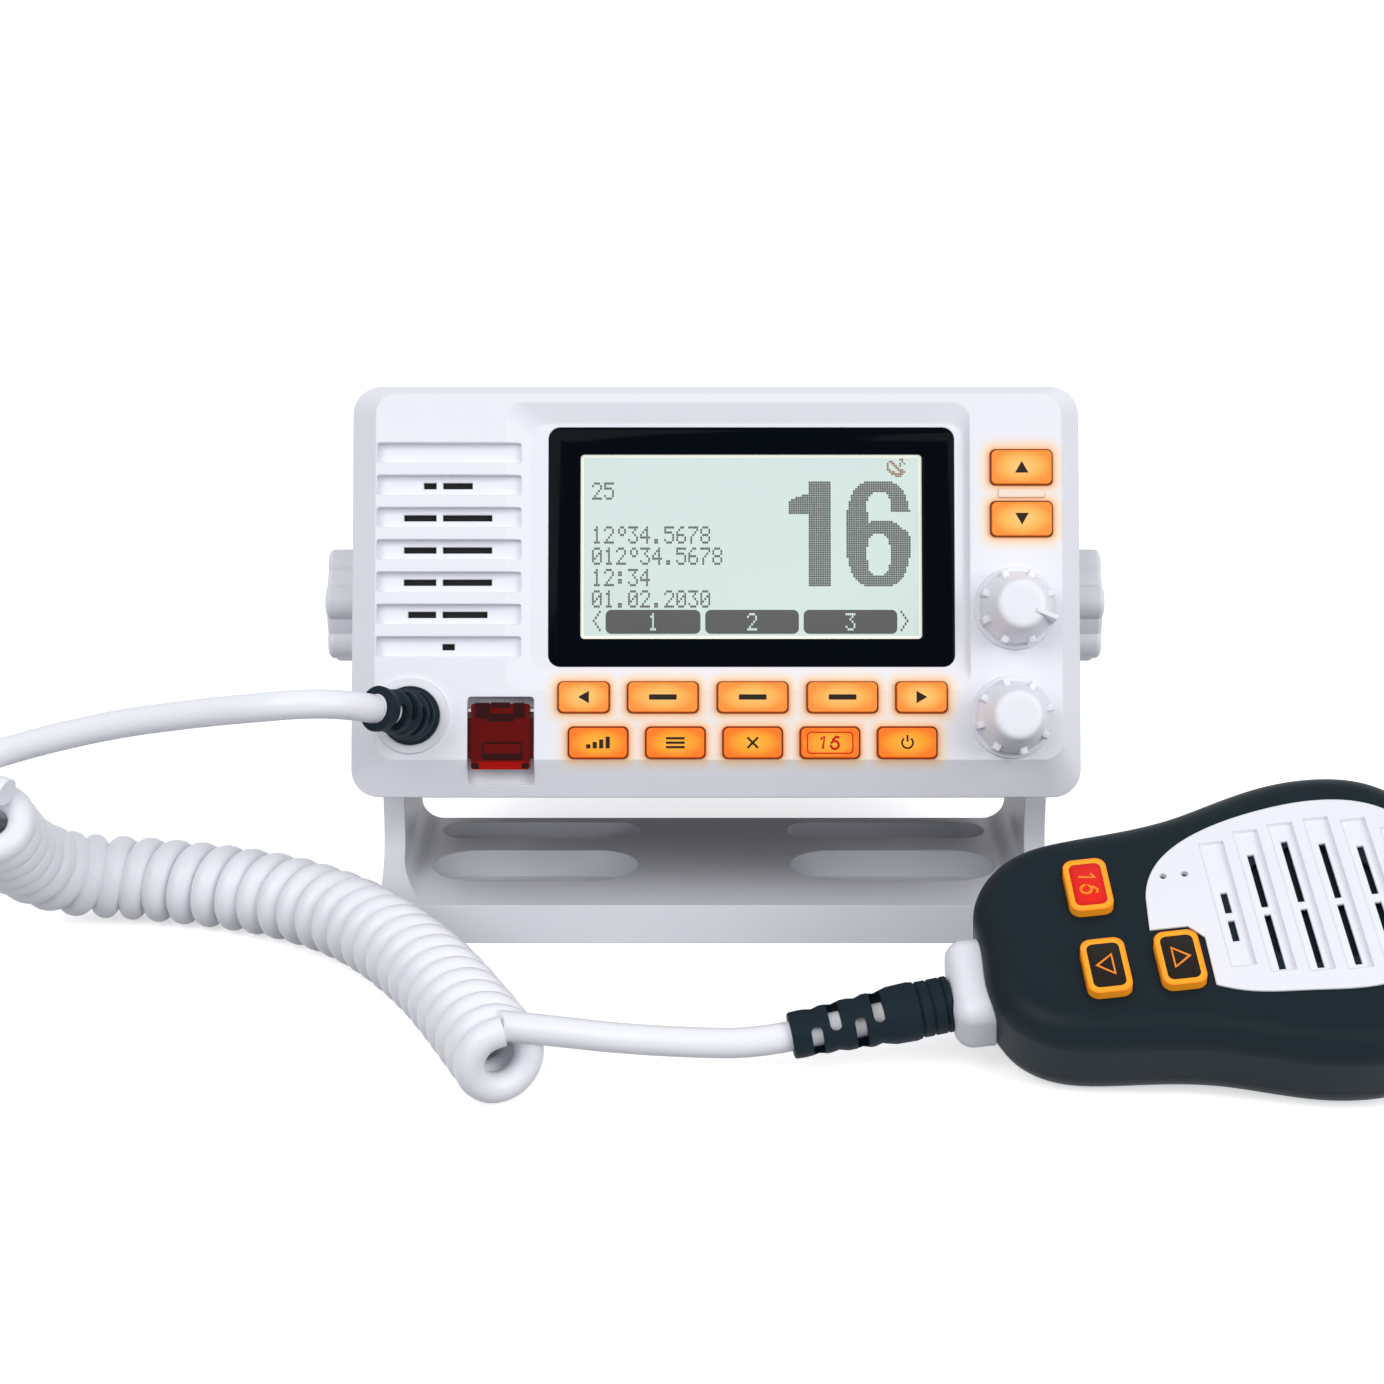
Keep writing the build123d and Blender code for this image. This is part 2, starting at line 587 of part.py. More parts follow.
def front_bezel():
    """The moulded front with all its openings, rings and bosses."""
    flat = rounded_span(-FLAT_LEFT, FLAT_RIGHT, -FLAT_BOTTOM, FLAT_TOP, FLAT_R)
    body = frustum(flat, FACE_Y, bezel_outline(), FACE_Y + BORDER_D)
    body += slab(bezel_outline(), FACE_Y + BORDER_D, BEZEL_BACK)
    outside = body
    body -= bezel_cavity()
    tub_back = FACE_Y + RECESS_D + TUB_WALL
    body += slab(recess_outline(TUB_WALL), FACE_Y + 1, tub_back) & outside
    for x, z in corner_places():
        body += slab(disc(CORNER_BOSS_R, x, z), FACE_BACK - 1, BEZEL_BACK)
    for x, z in BOARD_POSTS:
        body += slab(disc(BOARD_POST_R, x, z), FACE_BACK - 1, BOARD_FRONT)
        body -= slab(disc(SCREW_R, x, z), FACE_BACK + 1, BOARD_FRONT)
    for x, z in knob_places():
        body += slab(disc(KNOB_RING_R, x, z), FACE_Y - KNOB_RING_T, FACE_Y)
        body -= slab(disc(ENCODER_BUSH_R + BUSH_GAP, x, z), FACE_Y - KNOB_RING_T, FACE_BACK)
    body += slab(disc(GLAND_RING_R, GLAND_X, GLAND_Z), FACE_Y - GLAND_RING_T, FACE_Y)
    body -= slab(disc(GLAND_SEAT_R, GLAND_X, GLAND_Z), FACE_Y - GLAND_RING_T,
                 FACE_Y + GLAND_SEAT_D)
    body -= slab(disc(BOOT_NECK_R, GLAND_X, GLAND_Z), FACE_Y, FACE_BACK)
    body -= frustum(rounded_span(*DISH_RIM, DISH_R), FACE_Y,
                    rounded_span(*DISH_FLOOR, DISH_R), FACE_Y + DISH_D)
    window = rounded(WINDOW_W + 2 * FACE_GAP, WINDOW_H + 2 * FACE_GAP, WINDOW_R,
                     WINDOW_X, WINDOW_Z)
    body -= slab(window, FACE_Y, FACE_BACK)
    pad_z = (UP_KEY_Z + DOWN_KEY_Z) / 2
    body += slab(rounded(STEP_PAD_W, STEP_PAD_H, 0.4, STEP_KEY_X, pad_z),
                 FACE_Y - STEP_PAD_PROUD, FACE_Y + 1)
    for cut in speaker_cuts():
        body -= cut
    for x, z, width, height in key_layout().values():
        hole = rounded(width + 2 * KEY_GAP, height + 2 * KEY_GAP, KEY_R + KEY_GAP, x, z)
        body -= slab(hole, FACE_Y, FACE_BACK)
    body -= slab(recess_outline(), FACE_Y, FACE_Y + RECESS_D)
    hole = rounded(DISTRESS_W + 2 * KEY_GAP, DISTRESS_H + 2 * KEY_GAP, 0.8, RECESS_X, DISTRESS_Z)
    body -= slab(hole, FACE_Y, tub_back)
    pin_half = RECESS_W / 2 + TUB_WALL - 0.5
    body -= cylinder_x(PIN_R, RECESS_X - pin_half, RECESS_X + pin_half,
                       FACE_Y + COVER_AXIS_IN, COVER_AXIS_Z)
    for x, z in corner_places():
        body -= slab(disc(SCREW_R, x, z), BEZEL_BACK - CASE_SCREW_L, BEZEL_BACK)
    return body


def display_window():
    """The dark window, flush with the floor of its sunk border."""
    outline = rounded(WINDOW_W, WINDOW_H, WINDOW_R, WINDOW_X, WINDOW_Z)
    return slab(outline, FACE_Y + DISH_D, FACE_BACK)


def frame_posts():
    """Corner posts of the display frame that carry the board."""
    out_x = WINDOW_W / 2 + FRAME_LIP - BOARD_POST_R - 0.3
    out_z = WINDOW_H / 2 + FRAME_LIP - BOARD_POST_R - 0.3
    return [(WINDOW_X + sx * out_x, WINDOW_Z + sz * out_z) for sx in (-1, 1) for sz in (-1, 1)]


def display_frame():
    """The dark frame behind the window that holds the panel and its backlight."""
    lip = 2 * FRAME_LIP
    outline = rounded(WINDOW_W + lip, WINDOW_H + lip, WINDOW_R, WINDOW_X, WINDOW_Z)
    body = slab(outline, FACE_BACK, FACE_BACK + FRAME_D)
    pocket = rounded(PANEL_W, PANEL_H, 1.0, WINDOW_X, WINDOW_Z)
    body -= slab(pocket, FACE_BACK, FACE_BACK + PANEL_T + BACKLIGHT_T)
    for x, z in frame_posts():
        body += slab(disc(BOARD_POST_R, x, z), FACE_BACK + FRAME_D - 1, BOARD_FRONT)
        body -= slab(disc(SCREW_R, x, z), FACE_BACK + FRAME_D - 1, BOARD_FRONT)
    return body


def display_layer(front, thickness):
    """A plate that fills the display frame's pocket."""
    outline = rounded(PANEL_W, PANEL_H, 1.0, WINDOW_X, WINDOW_Z)
    return slab(outline, front, front + thickness)


def face_key(x, z, width, height):
    """A key cap with a flange behind the wall and a stem towards its snap dome."""
    flange = FACE_BACK + KEY_SEAT
    body = slab(rounded(width, height, KEY_R, x, z), FACE_Y - KEY_PROUD, flange)
    wide = rounded(width + 2 * KEY_FLANGE, height + 2 * KEY_FLANGE, KEY_R, x, z)
    body += slab(wide, flange, flange + KEY_FLANGE_T)
    end = BOARD_FRONT - DOME_T - SNAP_GAP - KEY_TRAVEL
    return body + slab(disc(KEY_STEM_R, x, z), flange, end)


def dome_places():
    """Centres of the snap domes on the board."""
    places = [(x, z) for x, z, _, _ in key_layout().values()]
    return places + [(RECESS_X, DISTRESS_Z)]


def board_screw_places():
    """Centres of the screws that hold the board."""
    return list(BOARD_POSTS) + frame_posts()


def key_board():
    """The board behind the face, with a snap dome for each key."""
    body = slab(rounded_span(BOARD_LEFT, BOARD_RIGHT, BOARD_STEP, BOARD_TOP, 1.0),
                BOARD_FRONT, BOARD_FRONT + BOARD_T)
    body += slab(rounded_span(BOARD_TONGUE_LEFT, BOARD_RIGHT, BOARD_BOTTOM, BOARD_STEP + 3, 1.0),
                 BOARD_FRONT, BOARD_FRONT + BOARD_T)
    for x, z in corner_places():
        body -= slab(disc(CORNER_BOSS_R + FACE_GAP, x, z), BOARD_FRONT, BOARD_FRONT + BOARD_T)
    for x, z in board_screw_places():
        body -= slab(disc(SCREW_R, x, z), BOARD_FRONT, BOARD_FRONT + BOARD_T)
    for x, z in dome_places():
        body += slab(disc(DOME_R, x, z), BOARD_FRONT - DOME_T, BOARD_FRONT)
    return body


def screw(x, z, head_front, length):
    """A pan-head screw driven forward from behind."""
    body = slab(disc(SCREW_HEAD_R, x, z), head_front, head_front + SCREW_HEAD_T)
    return body + slab(disc(SCREW_R, x, z), head_front - length, head_front)


def encoder(x, z):
    """A rotary encoder on the board, with its bush through the face."""
    front = FACE_BACK + 2.6
    body = slab(rounded(ENCODER_SIDE, ENCODER_SIDE, 0.5, x, z), front, BOARD_FRONT)
    body += slab(disc(ENCODER_BUSH_R, x, z), FACE_Y, front)
    return body - slab(disc(KNOB_STEM_R + SHAFT_FIT, x, z), FACE_Y, BOARD_FRONT - 1)


def turning_knob(x, z, rib_turn, pointer):
    """A round knob with square ribs; pointer adds a rib across its cap."""
    skirt_front = FACE_Y - KNOB_RING_T - KNOB_LIFT
    body = slab(disc(KNOB_SKIRT_R), skirt_front - KNOB_SKIRT_T, skirt_front)
    cap_front = FACE_Y - KNOB_OUT
    body += frustum(disc(KNOB_CAP_R), cap_front, disc(KNOB_CAP_R + 0.8),
                    skirt_front - KNOB_SKIRT_T)
    reach = KNOB_SKIRT_R + 0.5 * KNOB_RIB
    for index in range(KNOB_RIBS):
        rib = block(KNOB_CAP_R, reach, skirt_front - KNOB_SKIRT_T - 1.0, skirt_front,
                    -KNOB_RIB / 2, KNOB_RIB / 2)
        body += Rot(Y=rib_turn + 360 / KNOB_RIBS * index) * rib
    if pointer:
        rib = block(KNOB_CAP_R / 2, reach, cap_front - 0.6, cap_front + 2.0,
                    -KNOB_RIB / 3, KNOB_RIB / 3)
        body += Rot(Y=rib_turn) * rib
    body += slab(disc(KNOB_STEM_R), skirt_front, BOARD_FRONT - 1.5)
    return Pos(x, 0, z) * body


def speaker():
    """A round loudspeaker: flange, cone basket and magnet."""
    flange = FACE_BACK + CLOTH_T
    basket = flange + SPEAKER_FLANGE_T
    magnet = flange + SPEAKER_D - MAGNET_D
    place = (SPEAKER_X, SPEAKER_Z)
    body = slab(disc(SPEAKER_R, *place), flange, basket)
    body += frustum(disc(SPEAKER_R - 1, *place), basket, disc(MAGNET_R, *place), magnet)
    return body + slab(disc(MAGNET_R, *place), magnet, magnet + MAGNET_D)


def speaker_cloth():
    """Water-shedding cloth between the grille and the loudspeaker."""
    outline = rounded(2 * SPEAKER_R, CLOTH_H, 2.0, SPEAKER_X, SPEAKER_Z)
    return slab(outline, FACE_BACK, FACE_BACK + CLOTH_T)


def distress_cover():
    """The red lid over the distress key, hinged along its top edge."""
    front = FACE_Y - COVER_PROUD
    back = front + COVER_T
    lid = rounded_span(RECESS_X - COVER_W / 2, RECESS_X + COVER_W / 2,
                       COVER_BOTTOM, COVER_TOP, 0.8)
    body = slab(lid, front, back)
    axis_y = FACE_Y + COVER_AXIS_IN
    body += cylinder_x(COVER_BARREL_R, RECESS_X - COVER_W / 2 + 0.3,
                       RECESS_X + COVER_W / 2 - 0.3, axis_y, COVER_AXIS_Z)
    for side in (-1, 1):
        outer = RECESS_X + side * COVER_EAR_W / 2
        inner = RECESS_X + side * (COVER_W / 2 - COVER_EAR_T)
        body += block(min(outer, inner), max(outer, inner), front + 0.5, front + COVER_EAR_D,
                      COVER_EAR_BOTTOM, COVER_EAR_TOP)
    return body - cylinder_x(PIN_R + SHAFT_FIT, RECESS_X - COVER_W, RECESS_X + COVER_W,
                             axis_y, COVER_AXIS_Z)


def cover_pin():
    """The steel pin that carries the distress cover."""
    half = RECESS_W / 2 + TUB_WALL - 0.5
    return cylinder_x(PIN_R, RECESS_X - half, RECESS_X + half, FACE_Y + COVER_AXIS_IN,
                      COVER_AXIS_Z)


def distress_key():
    """The small red key under the cover."""
    floor = FACE_Y + RECESS_D
    flange = floor + TUB_WALL + KEY_SEAT
    body = slab(rounded(DISTRESS_W, DISTRESS_H, 0.6, RECESS_X, DISTRESS_Z),
                floor - DISTRESS_PROUD, flange)
    body += slab(rounded(DISTRESS_W + 1.6, DISTRESS_H + 1.6, 0.6, RECESS_X, DISTRESS_Z),
                 flange, flange + KEY_FLANGE_T)
    end = BOARD_FRONT - DOME_T - SNAP_GAP - KEY_TRAVEL
    return body + slab(disc(KEY_STEM_R, RECESS_X, DISTRESS_Z), flange, end)


def boot_path():
    """Centre line of the rubber boot: straight out of the face, then bent to the left."""
    start = Vector(GLAND_X, FACE_Y + 1, GLAND_Z)
    bend = Vector(GLAND_X, FACE_Y - BOOT_STRAIGHT, GLAND_Z)
    aside = Vector(-math.cos(math.radians(BOOT_ROLL)), 0, math.sin(math.radians(BOOT_ROLL)))
    turn = math.radians(BOOT_BEND)
    middle = bend + aside * (BOOT_BEND_R * (1 - math.cos(turn / 2)))
    middle -= Vector(0, BOOT_BEND_R * math.sin(turn / 2), 0)
    end = bend + aside * (BOOT_BEND_R * (1 - math.cos(turn)))
    end -= Vector(0, BOOT_BEND_R * math.sin(turn), 0)
    return Line(start, bend) + ThreePointArc(bend, middle, end)


def cord_boot():
    """The ribbed rubber boot that guides the cord out of the face."""
    path = boot_path()
    body = sweep(front_plane(FACE_Y + 1) * disc(BOOT_R, GLAND_X, GLAND_Z), path=path)
    seat = FACE_Y + GLAND_SEAT_D
    body += slab(disc(BOOT_COLLAR_R, GLAND_X, GLAND_Z), FACE_Y - BOOT_COLLAR_OUT, seat)
    body += slab(disc(BOOT_NECK_R, GLAND_X, GLAND_Z), seat, FACE_BACK)
    return body + slab(disc(BOOT_INNER_R, GLAND_X, GLAND_Z), FACE_BACK, FACE_BACK + BOOT_INNER_T)


# ---------------------------------------------------------------- radio chassis
def front_gasket():
    """The flat rubber gasket between the bezel and the chassis."""
    inside = rounded(CHASSIS_W - 2 * WALL, CHASSIS_H - 2 * WALL, CHASSIS_R - 1)
    body = slab(bezel_outline(GASKET_INSET) - inside, BEZEL_BACK, BEZEL_BACK + GASKET_T)
    for x, z in corner_places():
        body -= slab(disc(SCREW_R, x, z), BEZEL_BACK, BEZEL_BACK + GASKET_T)
    return body


def rear_housing():
    """The cast chassis: flange, tub, tilt bosses, board posts and cooling fins."""
    flange = BEZEL_BACK + GASKET_T
    tub = rounded(CHASSIS_W, CHASSIS_H, CHASSIS_R)
    hollow = rounded(CHASSIS_W - 2 * WALL, CHASSIS_H - 2 * WALL, CHASSIS_R - 1)
    body = slab(bezel_outline(FLANGE_INSET), flange, flange + FLANGE_T)
    body += slab(tub, flange, CHASSIS_BACK)
    body -= slab(hollow, flange, CHASSIS_BACK - WALL)
    for side in (-1, 1):
        ends = sorted((side * (CHASSIS_W / 2 - 1), side * BOSS_FACE))
        body += cylinder_x(BOSS_R, *ends)
        ends = sorted((side * INNER_BOSS_END, side * (CHASSIS_W / 2 - 1)))
        body += cylinder_x(INNER_BOSS_R, *ends)
        ends = sorted((side * (STUD_END - 1), side * BOSS_FACE))
        body -= cylinder_x(STUD_R + SHAFT_FIT, *ends)
    fins = int(FIN_HALF_SPAN / FIN_PITCH)
    for index in range(-fins, fins + 1):
        x = index * FIN_PITCH
        body += block(x - FIN_T / 2, x + FIN_T / 2, CHASSIS_BACK - 1, CHASSIS_BACK + FIN_D,
                      -CHASSIS_H / 2 + CHASSIS_R, CHASSIS_H / 2 - CHASSIS_R)
    floor = -CHASSIS_H / 2 + WALL
    for x, y in main_post_places():
        body += Pos(x, y, (floor + MAIN_BOARD_Z) / 2) * Cylinder(MAIN_POST_R, MAIN_BOARD_Z - floor)
        body -= Pos(x, y, MAIN_BOARD_Z) * Cylinder(SCREW_R, 2 * (MAIN_BOARD_Z - floor - 1))
    body -= slab(disc(SOCKET_NECK_R, SOCKET_X, SOCKET_Z), CHASSIS_BACK - WALL, CHASSIS_BACK)
    for x, z, lead in lead_places():
        body -= slab(disc(lead + GLAND_WALL, x, z), CHASSIS_BACK - WALL, CHASSIS_BACK)
    for x, z in corner_places():
        body -= slab(disc(SCREW_R, x, z), flange, flange + FLANGE_T)
    return body


def main_post_places():
    """Centres of the posts under the main board."""
    inset = 6.0
    ys = (MAIN_BOARD_FRONT + inset, MAIN_BOARD_REAR - inset)
    return [(side * MAIN_POST_X, y) for side in (-1, 1) for y in ys]


def lead_places():
    """Centre and lead radius of each rubber gland in the back wall."""
    return ((POWER_X, POWER_Z, POWER_LEAD_R), (ACCESSORY_X, ACCESSORY_Z, ACCESSORY_LEAD_R))


def main_board():
    """The main board with its relay, transformer, capacitors and terminal block."""
    top = MAIN_BOARD_Z + BOARD_T
    body = block(-MAIN_BOARD_HALF, MAIN_BOARD_HALF, MAIN_BOARD_FRONT, MAIN_BOARD_REAR,
                 MAIN_BOARD_Z, top)
    body += block(30, 44, -12, 6, top, top + 12)
    body += block(30, 48, 12, 30, top, top + 9)
    body += block(-54, -42, 14, 38, top, top + 8)
    for x, y in ((-48, -4), (-48, 6), (34, 40), (44, 40)):
        body += Pos(x, y, top + 6) * Cylinder(4, 12)
    for x, y in main_post_places():
        body -= Pos(x, y, MAIN_BOARD_Z) * Cylinder(SCREW_R, 4 * BOARD_T)
    return body


def shield_can():
    """The folded metal can over the radio-frequency parts."""
    x0, x1, y0, y1 = CAN_BOX
    base = MAIN_BOARD_Z + BOARD_T
    body = block(x0, x1, y0, y1, base, base + CAN_H)
    return body - block(x0 + CAN_WALL, x1 - CAN_WALL, y0 + CAN_WALL, y1 - CAN_WALL,
                        base, base + CAN_H - CAN_WALL)


def main_board_screw(x, y):
    """A screw through the main board, down into its post."""
    top = MAIN_BOARD_Z + BOARD_T
    body = Pos(x, y, top + SCREW_HEAD_T / 2) * Cylinder(SCREW_HEAD_R, SCREW_HEAD_T)
    return body + Pos(x, y, top - 3.5) * Cylinder(SCREW_R, 7)


def antenna_socket():
    """The coaxial aerial socket on the back wall."""
    face = CHASSIS_BACK + SOCKET_FLANGE_T
    body = slab(rounded(SOCKET_FLANGE, SOCKET_FLANGE, 2.0, SOCKET_X, SOCKET_Z),
                CHASSIS_BACK, face)
    body += slab(disc(SOCKET_R, SOCKET_X, SOCKET_Z), face, face + SOCKET_L)
    body += slab(disc(SOCKET_NECK_R, SOCKET_X, SOCKET_Z), CHASSIS_BACK - WALL - 3, CHASSIS_BACK)
    return body - slab(disc(1.9, SOCKET_X, SOCKET_Z), face + 2, face + SOCKET_L)


def lead_gland(x, z, lead):
    """A rubber gland in the back wall for a lead."""
    body = slab(disc(lead + GLAND_WALL, x, z), CHASSIS_BACK - WALL, CHASSIS_BACK)
    flange = disc(lead + GLAND_WALL + 1.8, x, z)
    body += slab(flange, CHASSIS_BACK, CHASSIS_BACK + GLAND_FLANGE)
    body += slab(flange, CHASSIS_BACK - WALL - GLAND_FLANGE, CHASSIS_BACK - WALL)
    return body - slab(disc(lead, x, z), CHASSIS_BACK - 2 * WALL - 1,
                       CHASSIS_BACK + GLAND_FLANGE)


# ---------------------------------------------------------------- microphone
def mic_outline(grow=0.0):
    """The microphone's outline in its own plane, grown outwards."""
    upper = [(a, MIC_MID_W + half) for a, half in MIC_HALF_OUTLINE]
    lower = [(a, MIC_MID_W - half) for a, half in reversed(MIC_HALF_OUTLINE)]
    base = Spline(*upper, *lower, periodic=True)
    count = 2 * len(upper) + 4
    points = []
    for index in range(count):
        tangent = base % (index / count)
        outward = Vector(-tangent.Y, tangent.X, 0)
        points.append((base @ (index / count)) + outward * grow)
    return make_face(Spline(*points, periodic=True))


def plate_outline():
    """The face plate's outline, with a notch round the right arrow key."""
    return make_face([Spline(*PLATE_OUTLINE), Polyline(*PLATE_NOTCH)])


def mic_key_hole(a, w):
    """The hole of one microphone key."""
    grow = 2 * KEY_GAP
    return Pos(a, w) * RectangleRounded(MIC_KEY_A + grow, MIC_KEY_W + grow, MIC_KEY_R + KEY_GAP)


def talk_span(grow, depth):
    """A box round the talk key, grown along the shell and in height."""
    return block(TALK_A0 - grow, TALK_A1 + grow, MIC_MID_W + depth, 80.0,
                 TALK_N0 - grow, TALK_N1 + grow)


def mic_front_shell():
    """The dark front shell with its keys' holes, plate recess and screw posts."""
    bottom = SEAM + SEAL_T
    body = prism(mic_outline(), bottom, SHELL_TOP)
    body = fillet(body.edges().group_by(Axis.Z)[-1], SHELL_SHOULDER)
    ceiling = -PLATE_T - 1.2
    inside = prism(mic_outline(-MIC_WALL), bottom, ceiling)
    inside = fillet(inside.edges().group_by(Axis.Z)[-1], SHELL_SHOULDER - MIC_WALL)
    body -= inside
    for a, w in MIC_SCREWS:
        body += cylinder_n(MIC_POST_R, a, w, MIC_BOARD_N + BOARD_T, ceiling + 0.5)
        body -= cylinder_n(SCREW_R, a, w, MIC_BOARD_N, ceiling)
    body -= prism(plate_outline(), -PLATE_T, 0.0)
    body -= cylinder_n(MIC_SPEAKER_R - 2, MIC_SPEAKER_A, MIC_SPEAKER_W, ceiling, 0)
    body -= cylinder_n(CAPSULE_R - 1, CAPSULE_A, CAPSULE_W, ceiling, 0)
    for a, w in MIC_KEYS.values():
        body -= prism(mic_key_hole(a, w), ceiling, 0.0)
    return body - talk_span(KEY_GAP, 15.0)


def face_plate():
    """The pale face plate with its louvres and the two microphone holes."""
    body = prism(plate_outline(), -PLATE_T, 0.0)
    for index, half in enumerate(LOUVRE_HALF_LENGTHS):
        a = LOUVRE_A + LOUVRE_PITCH * index
        groove = block(a - LOUVRE_W / 2, a + LOUVRE_W / 2, LOUVRE_MID_W - half,
                       LOUVRE_MID_W + half, -LOUVRE_D, 0)
        body -= groove
        low0, low1 = LOUVRE_SLITS[index][2:]
        high0, high1 = LOUVRE_SLITS[index][:2]
        for w0, w1 in ((low0, low1), (high0, high1)):
            body -= block(a - SLIT_H / 2, a + SLIT_H / 2, w0, w1, -PLATE_T, 0)
    for side in (-0.5, 0.5):
        body -= cylinder_n(MIC_HOLE_R, CAPSULE_A + side * MIC_HOLE_PITCH, CAPSULE_W, -PLATE_T, 0)
    return body


def mic_seal():
    """The thin rubber seal between the two shells."""
    ring = mic_outline(-BACK_INSET) - mic_outline(-MIC_WALL)
    return prism(ring, SEAM, SEAM + SEAL_T)


def mic_back_shell():
    """The dark back shell with tubes for the screws."""
    body = prism(mic_outline(-BACK_INSET), BACK_N, SEAM)
    body = fillet(body.edges().group_by(Axis.Z)[0], BACK_SHOULDER)
    floor = BACK_N + MIC_WALL
    inside = prism(mic_outline(-BACK_INSET - MIC_WALL), floor, SEAM)
    body -= fillet(inside.edges().group_by(Axis.Z)[0], BACK_SHOULDER - MIC_WALL)
    for a, w in MIC_SCREWS:
        body += cylinder_n(MIC_POST_R, a, w, floor - 0.5, MIC_BOARD_N)
        body -= cylinder_n(SCREW_R, a, w, BACK_N, MIC_BOARD_N)
        body -= cylinder_n(SCREW_HEAD_R, a, w, BACK_N, BACK_N + SCREW_HEAD_T)
    return body - cylinder_n(STUD_NECK_R - 2, STUD_A, MIC_MID_W, BACK_N, floor)


def mic_speaker():
    """The loudspeaker under the louvres."""
    top = -PLATE_T - 1.2
    body = cylinder_n(MIC_SPEAKER_R, MIC_SPEAKER_A, MIC_SPEAKER_W, top - 1.5, top)
    return body + cylinder_n(MIC_SPEAKER_R / 2, MIC_SPEAKER_A, MIC_SPEAKER_W,
                             top - MIC_SPEAKER_D, top - 1.5)


def mic_capsule():
    """The microphone capsule behind the two small holes."""
    top = -PLATE_T - 1.2
    return cylinder_n(CAPSULE_R, CAPSULE_A, CAPSULE_W, top - CAPSULE_D, top)


def mic_board():
    """The microphone's board, carried by the back shell's tubes."""
    body = prism(mic_outline(-MIC_BOARD_INSET), MIC_BOARD_N, MIC_BOARD_N + BOARD_T)
    for a, w in MIC_SCREWS:
        body -= cylinder_n(SCREW_R, a, w, MIC_BOARD_N, MIC_BOARD_N + BOARD_T)
    for a, w in MIC_KEYS.values():
        top = MIC_BOARD_N + BOARD_T
        body += cylinder_n(DOME_R, a, w, top, top + DOME_T)
    return body


def mic_screw(a, w):
    """A shell screw, its head sunk in the back shell."""
    head = BACK_N + SCREW_HEAD_T
    body = cylinder_n(SCREW_HEAD_R, a, w, BACK_N, head)
    return body + cylinder_n(SCREW_R, a, w, head, head + MIC_SCREW_L)


def mic_key(a, w):
    """A raised key with a flange under the shell and a stem towards its dome."""
    flange = -PLATE_T - 1.2 - KEY_SEAT
    top = SHELL_TOP + MIC_KEY_PROUD
    body = prism(Pos(a, w) * RectangleRounded(MIC_KEY_A, MIC_KEY_W, MIC_KEY_R), flange, top)
    wide = Pos(a, w) * RectangleRounded(MIC_KEY_A + 2 * KEY_FLANGE, MIC_KEY_W + 2 * KEY_FLANGE,
                                        MIC_KEY_R)
    body += prism(wide, flange - KEY_FLANGE_T, flange)
    end = MIC_BOARD_N + BOARD_T + DOME_T + SNAP_GAP + KEY_TRAVEL
    return body + cylinder_n(KEY_STEM_R, a, w, end, flange)


def talk_key():
    """The push-to-talk bar in the microphone's side, with a flange inside the wall."""
    bar = prism(mic_outline(TALK_PROUD), TALK_N0, TALK_N1) & talk_span(0, 15.0)
    bar -= prism(mic_outline(-MIC_WALL - KEY_GAP), SEAM, 0)
    flange = prism(mic_outline(-MIC_WALL - KEY_GAP), TALK_N0, TALK_N1)
    flange &= talk_span(0, 15.0)
    flange -= prism(mic_outline(-MIC_WALL - KEY_GAP - TALK_FLANGE_T), SEAM, 0)
    stops = prism(mic_outline(-MIC_WALL - KEY_GAP), TALK_N0, TALK_N1) & block(
        TALK_A0 - TALK_FLANGE, TALK_A1 + TALK_FLANGE, 15, 80, TALK_N0, TALK_N1)
    stops -= prism(mic_outline(-MIC_WALL - KEY_GAP - TALK_FLANGE_T), SEAM, 0)
    return bar + flange + stops


def hang_up_stud():
    """The mushroom stud that hangs the microphone on its clip."""
    neck = BACK_N - STUD_NECK_L
    body = cylinder_n(STUD_NECK_R, STUD_A, MIC_MID_W, neck, BACK_N)
    body += cylinder_n(STUD_HEAD_R, STUD_A, MIC_MID_W, neck - STUD_HEAD_T, neck)
    return body + cylinder_n(STUD_NECK_R - 2, STUD_A, MIC_MID_W, BACK_N, BACK_N + MIC_WALL)


def cord_collar():
    """The pale block that holds the cord boot at the microphone's end."""
    body = block(COLLAR_A, COLLAR_END_A, COLLAR_W0, COLLAR_W1, COLLAR_N0, COLLAR_N1)
    hidden = body.faces().sort_by(Axis.X)[-1].edges()
    body = fillet([e for e in body.edges() if e not in hidden], COLLAR_R)
    return body - prism(mic_outline(), BACK_N - 1, 0) - mic_boot()


def mic_boot():
    """The tapered rubber boot on the cord at the microphone's end."""
    cuff = Pos(0, 0, MIC_BOOT_CUFF_L / 2) * Cylinder(MIC_BOOT_CUFF_R, MIC_BOOT_CUFF_L)
    taper_l = MIC_BOOT_L - MIC_BOOT_CUFF_L
    taper = Pos(0, 0, MIC_BOOT_CUFF_L + taper_l / 2) * Cone(MIC_BOOT_R0, MIC_BOOT_R1, taper_l)
    along = Pos(COLLAR_A, MIC_BOOT_W, MIC_BOOT_N) * Rot(Z=180 + MIC_BOOT_TURN) * Rot(Y=90)
    return along * (cuff + taper)


# ---------------------------------------------------------------- cord
def along_exit(place, tip, direction):
    """The tip of a boot and a point one run further out, in the bracket's frame."""
    start = (place * Pos(*tip)).position
    beyond = (place * Pos(*(tip + direction * EXIT_RUN))).position
    return tuple(start), tuple(beyond)


